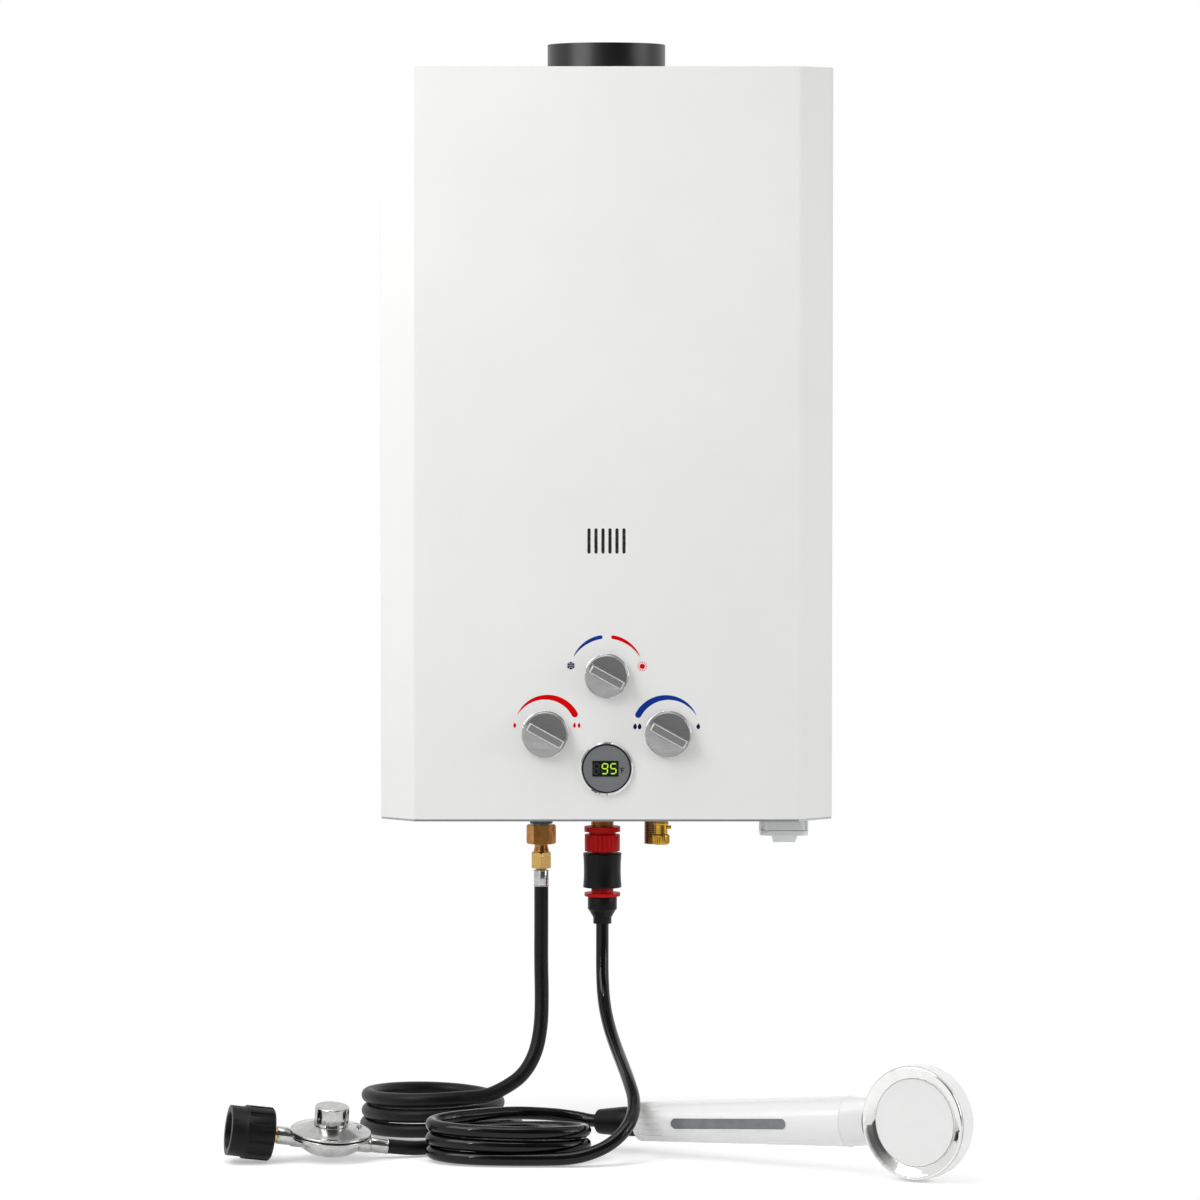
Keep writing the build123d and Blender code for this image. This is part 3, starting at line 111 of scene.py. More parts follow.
def add_node(tree: bpy.types.NodeTree, kind: str, settings: dict | None = None,
             inputs: dict | None = None) -> bpy.types.Node:
    """Add a shader node with its settings and links.

    Args:
        tree: node tree that gets the node.
        kind: Blender's name of the node type.
        settings: node attributes to set.
        inputs: socket name or number to a value, or to an output socket that is linked to it.

    Returns:
        The new node.
    """
    node = tree.nodes.new(kind)
    for name, value in (settings or {}).items():
        setattr(node, name, value)
    for key, value in (inputs or {}).items():
        if isinstance(value, bpy.types.NodeSocket):
            tree.links.new(value, node.inputs[key])
        else:
            node.inputs[key].default_value = value
    return node


# Finishes


@dataclass(frozen=True)
class Finish:
    """A surface, by what it is made of and how it was made.

    The colour drifts to the shade in soft clouds, the roughness drifts with it, and a fine
    grain lifts the surface.
    """

    name: str
    slot: str
    colour: str
    shade: str
    roughness: float = 0.45
    rough_span: float = 0.08
    metallic: float = 0.0
    ior: float = 1.5
    specular: float = 0.5
    coat: float = 0.0
    coat_roughness: float = 0.05
    transmission: float = 0.0
    subsurface_mm: float = 0.0
    subsurface_share: float = 0.6
    cloud_mm: float = 60.0
    cloud_detail: float = 4.0
    cloud_roughness: float = 0.6
    drift_span: Pair = (0.3, 0.7)
    grain_mm: float = 1.5
    grain_detail: float = 2.0
    grain_depth_mm: float = 0.02
    grain_strength: float = 0.6
    stretch: Triple = (1.0, 1.0, 1.0)
    glow: float = 0.0

    def material(self) -> bpy.types.Material:
        """The finish's material, made on first use."""
        found = bpy.data.materials.get(self.name)
        return found or self.make()

    def make(self) -> bpy.types.Material:
        """Build the material.

        Returns:
            The new material.
        """
        sockets = {
            "Metallic": self.metallic,
            "IOR": self.ior,
            "Specular IOR Level": self.specular,
            "Coat Weight": self.coat,
            "Coat Roughness": self.coat_roughness,
            "Transmission Weight": self.transmission,
        }
        if self.subsurface_mm:
            sockets["Subsurface Weight"] = self.subsurface_share
            sockets["Subsurface Radius"] = (1.0, 1.0, 1.0)
            sockets["Subsurface Scale"] = self.subsurface_mm * MM
        if self.glow:
            sockets["Emission Color"] = linear(self.colour)
            sockets["Emission Strength"] = self.glow
        material = bpy.data.materials.new(self.name)
        material.use_nodes = True
        tree = material.node_tree
        tree.nodes.clear()
        shader = add_node(tree, "ShaderNodeBsdfPrincipled", None, sockets)
        self.pattern(tree, shader)
        add_node(tree, "ShaderNodeOutputMaterial", None, {"Surface": shader.outputs["BSDF"]})
        return material

    def place(self, tree: bpy.types.NodeTree) -> bpy.types.NodeSocket:
        """Coordinates of the pattern in metres, drawn out along its stretch.

        Args:
            tree: the material's node tree.

        Returns:
            The socket that gives them.
        """
        spot = add_node(tree, "ShaderNodeTexCoord").outputs["Object"]
        drawn = add_node(tree, "ShaderNodeMapping", None, {"Vector": spot, "Scale": self.stretch})
        return drawn.outputs["Vector"]

    def grain(self, tree: bpy.types.NodeTree, place: bpy.types.NodeSocket) -> bpy.types.NodeSocket:
        """Height of the fine grain.

        Args:
            tree: the material's node tree.
            place: coordinates of the pattern.

        Returns:
            The socket that gives it.
        """
        return add_node(tree, "ShaderNodeTexNoise", None, {
            "Vector": place,
            "Scale": per_metre(self.grain_mm),
            "Detail": self.grain_detail,
        }).outputs["Fac"]

    def pattern(self, tree: bpy.types.NodeTree, shader: bpy.types.Node) -> None:
        """Link the clouds and the grain to the shader.

        Args:
            tree: the material's node tree.
            shader: its Principled node.
        """
        place = self.place(tree)
        clouds = add_node(tree, "ShaderNodeTexNoise", None, {
            "Vector": place,
            "Scale": per_metre(self.cloud_mm),
            "Detail": self.cloud_detail,
            "Roughness": self.cloud_roughness,
        })
        self.finish_links(tree, shader, clouds.outputs["Fac"], self.grain(tree, place))

    def finish_links(self, tree: bpy.types.NodeTree, shader: bpy.types.Node,
                     drift: bpy.types.NodeSocket, height: bpy.types.NodeSocket) -> None:
        """Drive colour and roughness by the drift, and the bump by the height.

        Args:
            tree: the material's node tree.
            shader: its Principled node.
            drift: value that moves the colour to its shade.
            height: value that lifts the surface.
        """
        span = {"Value": drift, "From Min": self.drift_span[0], "From Max": self.drift_span[1]}
        share = add_node(tree, "ShaderNodeMapRange", None, span)
        mix = add_node(tree, "ShaderNodeMix", {"data_type": "RGBA"}, {
            "Factor": share.outputs["Result"],
            "A": linear(self.colour),
            "B": linear(self.shade),
        })
        rough = add_node(tree, "ShaderNodeMapRange", None, {
            **span,
            "To Min": self.roughness - self.rough_span / 2,
            "To Max": self.roughness + self.rough_span / 2,
        })
        bump = add_node(tree, "ShaderNodeBump", None, {
            "Strength": self.grain_strength,
            "Distance": self.grain_depth_mm * MM,
            "Height": height,
        })
        tree.links.new(mix.outputs["Result"], shader.inputs["Base Color"])
        tree.links.new(rough.outputs["Result"], shader.inputs["Roughness"])
        tree.links.new(bump.outputs["Normal"], shader.inputs["Normal"])


@dataclass(frozen=True)
class SpangledSheet(Finish):
    """Hot-dip zinc, whose crystals show as patches that each reflect a little differently."""

    spangle_mm: float = 9.0

    def pattern(self, tree: bpy.types.NodeTree, shader: bpy.types.Node) -> None:
        """Link the zinc crystals and the grain to the shader.

        Args:
            tree: the material's node tree.
            shader: its Principled node.
        """
        place = self.place(tree)
        cells = add_node(tree, "ShaderNodeTexVoronoi", None, {
            "Vector": place,
            "Scale": per_metre(self.spangle_mm),
        })
        tone = add_node(tree, "ShaderNodeSeparateColor", None, {"Color": cells.outputs["Color"]})
        self.finish_links(tree, shader, tone.outputs["Red"], self.grain(tree, place))


@dataclass(frozen=True)
class BraidedHose(Finish):
    """Clear-skinned vinyl over a thread braid, whose diamonds show through the gloss.

    A real braid repeats about every 4 mm, which is too fine to show in the render, so it is
    drawn coarser.
    """

    length_mm: float = 1400.0
    around_mm: float = 37.7
    lay_mm: float = 26.39
    lay_angle: float = 54.0

    def pattern(self, tree: bpy.types.NodeTree, shader: bpy.types.Node) -> None:
        """Link the two crossing thread lays to the shader.

        Args:
            tree: the material's node tree.
            shader: its Principled node.
        """
        along = add_node(tree, "ShaderNodeTexCoord").outputs["UV"]
        unrolled = add_node(tree, "ShaderNodeMapping", None, {
            "Vector": along,
            "Scale": (self.length_mm * MM, self.around_mm * MM, 1.0),
        })
        lays = []
        for side in (-1, 1):
            turned = add_node(tree, "ShaderNodeMapping", None, {
                "Vector": unrolled.outputs["Vector"],
                "Rotation": (0.0, 0.0, side * math.radians(self.lay_angle)),
            })
            lays.append(add_node(tree, "ShaderNodeTexWave", {"wave_profile": "SIN"}, {
                "Vector": turned.outputs["Vector"],
                "Scale": per_metre(self.lay_mm) * 2 * math.pi / WAVE_RATE,
            }).outputs["Fac"])
        braid = add_node(tree, "ShaderNodeMath", {"operation": "MAXIMUM"}, dict(enumerate(lays)))
        self.finish_links(tree, shader, braid.outputs[0], braid.outputs[0])


def screen_ink(name: str, slot: str, colour: str, shade: str) -> Finish:
    """Screen-print ink: flat, dense and slightly rougher than the coat below.

    Args:
        name: the ink's name.
        slot: the record's material slot.
        colour: its colour.
        shade: its colour where it lies thicker.

    Returns:
        The ink's finish.
    """
    return Finish(
        name, slot, colour, shade, roughness=0.55, specular=0.06,
        cloud_mm=8, grain_mm=0.4, grain_depth_mm=0.006,
    )


# Powder-coated steel: cured polyester, an even white with a soft sheen and fine orange peel.
POWDER_COAT = Finish(
    "powder_coated_steel", "white_steel", "#F1F1F0", "#ECECEB", roughness=0.36, rough_span=0.06,
    coat=0.15, coat_roughness=0.18, cloud_mm=220, grain_mm=1.8, grain_depth_mm=0.03,
)
# Galvanised sheet: hot-dipped zinc, dull silver with crystal patches.
GALVANISED = SpangledSheet(
    "galvanised_sheet", "galvanised_steel", "#B0B3B4", "#A7AAAC", roughness=0.42, rough_span=0.08,
    metallic=1.0, grain_mm=2.0, grain_depth_mm=0.02,
)
# Vitreous enamel on steel: deep black with long soft reflections.
ENAMEL = Finish(
    "black_vitreous_enamel", "black_enamel", "#070708", "#0D0D0E", roughness=0.34, rough_span=0.06,
    cloud_mm=40, grain_mm=3.0, grain_depth_mm=0.02,
)
# Drawn copper: warm red-brown metal, slightly tarnished in patches.
COPPER = Finish(
    "drawn_copper", "copper", "#B87A4B", "#8E5530", roughness=0.32, rough_span=0.14, metallic=1.0,
    cloud_mm=14, grain_mm=1.2, grain_depth_mm=0.02,
)
# Turned brass: yellow metal with lathe rings and a soft tarnish.
BRASS = Finish(
    "turned_brass", "brass", "#D3B274", "#BC9653", roughness=0.26, rough_span=0.12, metallic=1.0,
    cloud_mm=12, grain_mm=0.5, grain_depth_mm=0.012, stretch=(0.15, 0.15, 1.0),
)
# Milled forged brass: the gas adaptor, orange-brown with a duller skin than turned brass.
FORGED_BRASS = Finish(
    "milled_forged_brass", "brass", "#C08A4A", "#9A6630", roughness=0.24, rough_span=0.12,
    metallic=1.0, cloud_mm=9, grain_mm=0.6, grain_depth_mm=0.015,
)
# Machined bright brass: the drain valve, newly turned and almost mirror bright.
BRIGHT_BRASS = Finish(
    "bright_turned_brass", "brass", "#D9AE4E", "#B98A2C", roughness=0.16, rough_span=0.08,
    metallic=1.0, cloud_mm=9, grain_mm=0.5, grain_depth_mm=0.01, stretch=(0.15, 0.15, 1.0),
)
# Aged brass: the cold inlet, brown and dull from handling.
DARK_BRASS = Finish(
    "tarnished_brass", "brass", "#8F6B3C", "#70502A", roughness=0.38, rough_span=0.16,
    metallic=1.0, cloud_mm=10, grain_mm=0.9, grain_depth_mm=0.02,
)
# Die-cast aluminium: matt grey with the skin of the mould.
CAST_ALLOY = Finish(
    "die_cast_aluminium", "cast_alloy", "#B2B4B6", "#9B9EA1", roughness=0.48, rough_span=0.12,
    metallic=1.0, cloud_mm=20, grain_mm=1.2, grain_depth_mm=0.04,
)
# Bright zinc plate on a die casting: silvery mirror with a faint ripple of the cast skin.
ZINC = Finish(
    "bright_zinc_plate", "zinc_plate", "#C6C6C5", "#A9A9A8", roughness=0.17, rough_span=0.12,
    metallic=1.0, cloud_mm=9, grain_mm=5.0, grain_depth_mm=0.06,
)
# Chrome plate: clear mirror with the faintest haze.
CHROME = Finish(
    "polished_chrome_plate", "chrome", "#E6E6E5", "#DBDBDA", roughness=0.05, rough_span=0.03,
    metallic=1.0, cloud_mm=18, grain_mm=8.0, grain_depth_mm=0.01,
)
# Satin-lacquered ABS: silver-grey with fine brush lines across the knob.
SATIN_GREY = Finish(
    "satin_lacquered_abs", "grey_plastic", "#B4B4B4", "#9E9E9F", roughness=0.3, rough_span=0.1,
    metallic=0.75, cloud_mm=5, grain_mm=0.7, grain_depth_mm=0.012, stretch=(0.2, 1.0, 1.0),
)
# Pale lacquer on the grip's edges: a painted highlight where the light catches them.
PAINTED_EDGE_HIGHLIGHT = Finish(
    "painted_highlight_lacquer", "grey_plastic", "#EDEDEC", "#DEDEDD", roughness=0.24, rough_span=0.08,
    metallic=0.2, cloud_mm=4, grain_mm=0.6, grain_depth_mm=0.006,
)
# Brushed lacquered plate: even mid grey behind the display.
DISPLAY_GREY = Finish(
    "satin_display_plate", "display_grey", "#838485", "#77787A", roughness=0.4, rough_span=0.08,
    metallic=0.35, cloud_mm=16, grain_mm=0.6, grain_depth_mm=0.008, stretch=(0.2, 1.0, 1.0),
)
# Smoked acrylic: black, glossy and clean.
SMOKED_LENS = Finish(
    "smoked_acrylic_lens", "display_black", "#070808", "#0D0E0E", roughness=0.1, rough_span=0.04,
    ior=1.49, cloud_mm=12, grain_mm=6.0, grain_depth_mm=0.004,
)
# Moulded polypropylene, black: fine spark-eroded texture, dull sheen.
BLACK_PP = Finish(
    "black_moulded_polypropylene", "black_plastic", "#0C0C0D", "#121213", roughness=0.4,
    rough_span=0.1, specular=0.16, cloud_mm=14, grain_mm=0.8, grain_depth_mm=0.03,
)
# Moulded polypropylene, red: strong red with a soft moulded sheen.
RED_PP = Finish(
    "red_moulded_polypropylene", "red_plastic", "#CC0E0E", "#BC0B0B", roughness=0.38,
    rough_span=0.1, specular=0.15, cloud_mm=12, grain_mm=0.9, grain_depth_mm=0.02,
)
# Gloss ABS: white with a polished-mould shine.
WHITE_ABS = Finish(
    "white_gloss_abs", "white_plastic", "#FAFAF9", "#F6F6F5", roughness=0.22, rough_span=0.06,
    ior=1.54, coat=0.2, coat_roughness=0.1, subsurface_mm=0.8, cloud_mm=60, grain_mm=3.0,
    grain_depth_mm=0.008,
)
# Natural polypropylene: milky, lets light through and blurs what is behind.
FROSTED_PP = Finish(
    "natural_polypropylene", "frosted_plastic", "#F7F8F8", "#F0F2F2", roughness=0.4,
    rough_span=0.1, transmission=0.1, subsurface_mm=3.0, cloud_mm=30, grain_mm=1.4,
    grain_depth_mm=0.02,
)
# Tinted polycarbonate: the grey slot in the handle.
TINTED_LENS = Finish(
    "tinted_polycarbonate", "window_grey", "#7E8083", "#6C6E71", roughness=0.2, rough_span=0.06,
    ior=1.58, cloud_mm=20, grain_mm=4.0, grain_depth_mm=0.006,
)
# Extruded nitrile rubber: dull black with a faint dusty bloom.
RUBBER = Finish(
    "extruded_nitrile_rubber", "hose_rubber", "#0D0D0E", "#131314", roughness=0.42,
    rough_span=0.12, specular=0.2, cloud_mm=16, grain_mm=0.9, grain_depth_mm=0.03,
)
# Moulded grey rubber: the sealing ring.
GREY_RUBBER = Finish(
    "moulded_grey_rubber", "grommet_rubber", "#4A4C4F", "#3B3D40", roughness=0.6, rough_span=0.1,
    cloud_mm=8, grain_mm=0.8, grain_depth_mm=0.03,
)
# Clear-skinned black vinyl over a braid: wet-looking gloss.
VINYL = BraidedHose(
    "braided_black_vinyl", "hose_vinyl", "#050506", "#0B0B0C", roughness=0.07, rough_span=0.03,
    specular=0.28, grain_depth_mm=0.1,
)
# Mica: smoky brown flakes that stand the burner's heat.
MICA = Finish(
    "smoky_mica", "mica", "#1E1C19", "#37322B", roughness=0.25, rough_span=0.1, ior=1.58,
    cloud_mm=6, grain_mm=2.0, grain_depth_mm=0.01,
)
# Glazed steatite: the cream rods of the spark electrodes.
STEATITE = Finish(
    "glazed_steatite", "ceramic", "#E2DED0", "#D5CFBE", roughness=0.25, rough_span=0.08,
    cloud_mm=8, grain_mm=2.0, grain_depth_mm=0.01,
)
# Lit segments: the yellow-green of a light-emitting display.
LIT_SEGMENT = Finish(
    "lit_segment", "display_black", "#A9D129", "#A0C826", roughness=0.4, glow=0.55,
    cloud_mm=3, grain_mm=0.5, grain_depth_mm=0.004,
)
# Unlit segments: a shade lighter than the lens.
DARK_SEGMENT = Finish(
    "unlit_segment", "display_black", "#2E3030", "#272929", roughness=0.3,
    cloud_mm=3, grain_mm=0.5, grain_depth_mm=0.004,
)
# Screen-print inks of the scales, the signs and the display's plate.
RED_INK = screen_ink("red_screen_ink", "red_plastic", "#DC0008", "#CF0007")
BLUE_INK = screen_ink("blue_screen_ink", "white_steel", "#0F3796", "#0D308A")
NAVY_INK = screen_ink("navy_screen_ink", "white_steel", "#0C1A4C", "#0A1542")
# The charcoal ink also paints the shade in the gap round the display plate.
DARK_INK = screen_ink("charcoal_screen_ink", "display_black", "#121213", "#0D0D0E")


# Shared mesh work


def full_turn(count: int) -> list[float]:
    """Angles round a circle, in equal steps."""
    return [2 * math.pi * i / count for i in range(count)]


def half_turn(steps: int) -> list[float]:
    """Angles round half a circle, both ends among them."""
    return [math.pi * i / steps for i in range(steps + 1)]


def ring(radius: float, height: float, count: int, stand: Matrix) -> list[Vector]:
    """Points of a level circle, placed by a matrix.

    Args:
        radius: the circle's radius.
        height: its level along the matrix's Z.
        count: number of points.
        stand: where the circle's axis stands.

    Returns:
        The points in order.
    """
    turns = full_turn(count)
    return [stand @ Vector((radius * math.cos(a), radius * math.sin(a), height)) for a in turns]


def out_of_front(x: float, z: float) -> Matrix:
    """Frame on the front at a place, with its Z out of the cover."""
    return Matrix.Translation((x, FRONT, z)) @ Matrix.Rotation(math.radians(90), 4, "X")


class Shape:
    """A mesh in the making, in millimetres."""

    def __init__(self) -> None:
        """Start with no points."""
        self.points: list[Vector] = []
        self.faces: list[tuple[int, ...]] = []

    @classmethod
    def skin(cls, rows: Sequence[Sequence[Vector]]) -> "Shape":
        """A skin between closed rows of points, each with as many points.

        Args:
            rows: rings in order along the skin.

        Returns:
            The mesh in the making.
        """
        shape = cls()
        shape.rings(rows)
        return shape

    @classmethod
    def beads(cls, paths: Sequence[Sequence[Vector]], up: Vector, radius: float) -> "Shape":
        """Round beads along closed paths.

        Args:
            paths: points of each bead's middle line.
            up: direction square to the paths.
            radius: the beads' radius.

        Returns:
            The mesh in the making.
        """
        shape = cls()
        for path in paths:
            rows = []
            for i, spot in enumerate(path):
                along = path[(i + 1) % len(path)] - path[i - 1]
                out = along.cross(up).normalized()
                rows.append([
                    spot + (out * math.cos(a) + up * math.sin(a)) * radius
                    for a in full_turn(Sides.BEAD)
                ])
            shape.rings([*rows, rows[0]])
        return shape

    def add(self, points: Sequence[Vector], faces: Sequence[Sequence[int]]) -> None:
        """Add points and the faces between them.

        Args:
            points: new points.
            faces: corner numbers, counted from the first of the new points.
        """
        base = len(self.points)
        self.points.extend(Vector(p) for p in points)
        self.faces.extend(tuple(base + corner for corner in face) for face in faces)

    def fan(self, rim: Sequence[Vector]) -> None:
        """Add a flat patch.

        Args:
            rim: its points, all seen from their middle.
        """
        middle = sum((Vector(p) for p in rim), Vector()) / len(rim)
        count = len(rim)
        self.add([*rim, middle], [(i, (i + 1) % count, count) for i in range(count)])

    def strip(self, left: Sequence[Vector], right: Sequence[Vector]) -> None:
        """Add a ribbon between two rows of points.

        Args:
            left: points of one edge.
            right: as many points of the other.
        """
        count = len(left)
        faces = [(i, i + 1, count + i + 1, count + i) for i in range(count - 1)]
        self.add([*left, *right], faces)

    def rings(self, rows: Sequence[Sequence[Vector]]) -> None:
        """Add a skin between closed rows of points, each with as many points.

        Args:
            rows: rings in order along the skin.
        """
        count = len(rows[0])
        faces = []
        for low in range(0, (len(rows) - 1) * count, count):
            high = low + count
            for i in range(count):
                after = (i + 1) % count
                faces.append((low + i, low + after, high + after, high + i))
        self.add([p for row in rows for p in row], faces)

    def piece(self, name: str, finish: Finish, body: Body,
              smooth: bool = True) -> bpy.types.Object:
        """Make the object, dress it and let it ride.

        Args:
            name: the piece's name.
            finish: its surface.
            body: the body that it rides on.
            smooth: whether its faces are shaded as curved.

        Returns:
            The new object.
        """
        mesh = bpy.data.meshes.new(name)
        mesh.from_pydata([tuple(p * MM) for p in self.points], [], self.faces)
        mesh.materials.append(finish.material())
        for polygon in mesh.polygons:
            polygon.use_smooth = smooth
        obj = bpy.data.objects.new(name, mesh)
        bpy.context.scene.collection.objects.link(obj)
        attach(obj, body.value)
        LOG.info("piece %s rides on %s", name, body.value)
        return obj


def dress(finish: Finish, *nodes: str) -> None:
    """Put a finish on CAD nodes.

    Args:
        finish: the surface.
        nodes: names of the nodes.
    """
    for node in nodes:
        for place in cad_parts[node].material_slots:
            place.material = finish.material()
        LOG.info("node %s dressed in %s", node, finish.name)


def soften(width: float, *nodes: str) -> None:
    """Round the sharp edges of CAD nodes with modifiers, as a mould or a tool leaves them.

    Args:
        width: width of the rounding.
        nodes: names of the nodes.
    """
    weld_gap = 0.002
    sharp_from = 38
    for node in nodes:
        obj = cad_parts[node]
        weld = obj.modifiers.new("weld", "WELD")
        weld.merge_threshold = weld_gap * MM
        edge = obj.modifiers.new("edge", "BEVEL")
        edge.width = width * MM
        edge.segments = 2
        edge.limit_method = "ANGLE"
        edge.angle_limit = math.radians(sharp_from)
        edge.harden_normals = True


# Sub-assemblies


@dataclass(frozen=True)
class Case:
    """Folded cover, plates, flue and what is inside."""

    half_width: float = 210.0
    fold_width: float = 31.4
    fold_depth: float = 30.0
    wall_gap: float = 4.0
    hem_height: float = 2.0
    hem_inset: float = 0.5

    def build(self) -> None:
        """Dress the sheet work and what it holds, and add the hem under the cover."""
        dress(POWDER_COAT, "front_cover", "top_plate")
        dress(GALVANISED, "back_plate", "bottom_plate", "draft_hood", "burner_tray", "burner_bars")
        dress(ENAMEL, "flue_collar")
        dress(MICA, "sight_window")
        dress(COPPER, "exchanger_core", "combustion_chamber", "exchanger_tube", "hot_pipe")
        dress(CAST_ALLOY, "gas_manifold", "gas_valve", "season_valve")
        dress(BRASS, "water_valve")
        dress(BLACK_PP, "igniter_box", "overheat_thermostat", "microswitch")
        dress(STEATITE, "ignition_electrodes")
        self.hem()

    def hem(self) -> None:
        """Lower edge of the bottom plate, which shows as a thin dark line."""
        half = self.half_width - self.hem_inset
        front = FRONT + self.hem_inset
        right = [
            (half - self.fold_width, front),
            (half, front + self.fold_depth),
            (half, -self.wall_gap),
        ]
        plan = [(-x, y) for x, y in reversed(right)] + right
        shape = Shape()
        shape.strip(*(
            [Vector((x, y, height)) for x, y in plan]
            for height in (UNDERSIDE, UNDERSIDE - self.hem_height)
        ))
        shape.piece("bottom_hem", GALVANISED, Body.HEATER, smooth=False)


@dataclass(frozen=True)
class Knob:
    """One control knob, with painted highlights along the edges of its skirt and of its grip."""

    node: str
    body: Body
    x: float
    z: float
    radius: float
    rounding: float = 0.7
    bevel: float = 1.2
    skirt_height: float = 1.2
    skirt_edge: Pair = (0.75, 0.6)
    skirt_steps: int = 12
    grip_angle: float = -29.0
    grip_height: float = 18.7
    grip_half_width: float = 3.5
    grip_tail_share: float = 0.94
    grip_inset: float = 2.2
    line_radius: float = 0.42
    line_shares: Triple = (0.03, 0.5, 0.97)

    def build(self) -> None:
        """Dress and soften the knob, and add the painted highlights on its edges."""
        dress(SATIN_GREY, self.node)
        soften(self.rounding, self.node)
        self.skirt_line()
        self.grip_line()

    def skirt_line(self) -> None:
        """Thin chrome bead round the foot of the skirt: a painted highlight on its bevelled edge.
        """
        stand = out_of_front(self.x, self.z)
        reach, rise = self.skirt_edge
        rows = []
        for turn in half_turn(self.skirt_steps):
            radius = self.radius + reach * math.sin(turn)
            height = self.skirt_height - rise * math.cos(turn)
            rows.append(ring(radius, height, Sides.KNOB, stand))
        Shape.skin(rows).piece(f"{self.node}_edge", CHROME, self.body)

    def grip_line(self) -> None:
        """Pale line round the top of the grip: a painted highlight on its edges."""
        turn = math.radians(self.grip_angle)
        along = Vector((math.cos(turn), 0, math.sin(turn)))
        across = Vector((-math.sin(turn), 0, math.cos(turn)))
        middle = Vector((self.x, FRONT - self.grip_height, self.z))
        face_radius = self.radius - self.bevel
        tail = -self.grip_tail_share * face_radius + self.grip_inset
        tip = face_radius - self.grip_inset
        half = self.grip_half_width
        plan = [(tail, -half), (tip, -half), (tip, half), (tail, half)]
        corners = [middle + along * s + across * t for s, t in plan]
        path = [
            start.lerp(end, share)
            for start, end in zip(corners, corners[1:] + corners[:1])
            for share in self.line_shares
        ]
        line = Shape.beads([path], Vector((0, -1, 0)), self.line_radius)
        line.piece(f"{self.node}_grip_highlight", PAINTED_EDGE_HIGHLIGHT, self.body)


@dataclass(frozen=True)
class Arc:
    """A printed arc with a thin tip and a round thick end, its angles clockwise from the top."""

    x: float
    z: float
    radius: float
    tip: float
    end: float
    end_width: float
    tip_width: float = 0.3
    swell: float = 0.85
    steps: int = 40
    cap_steps: int = 12


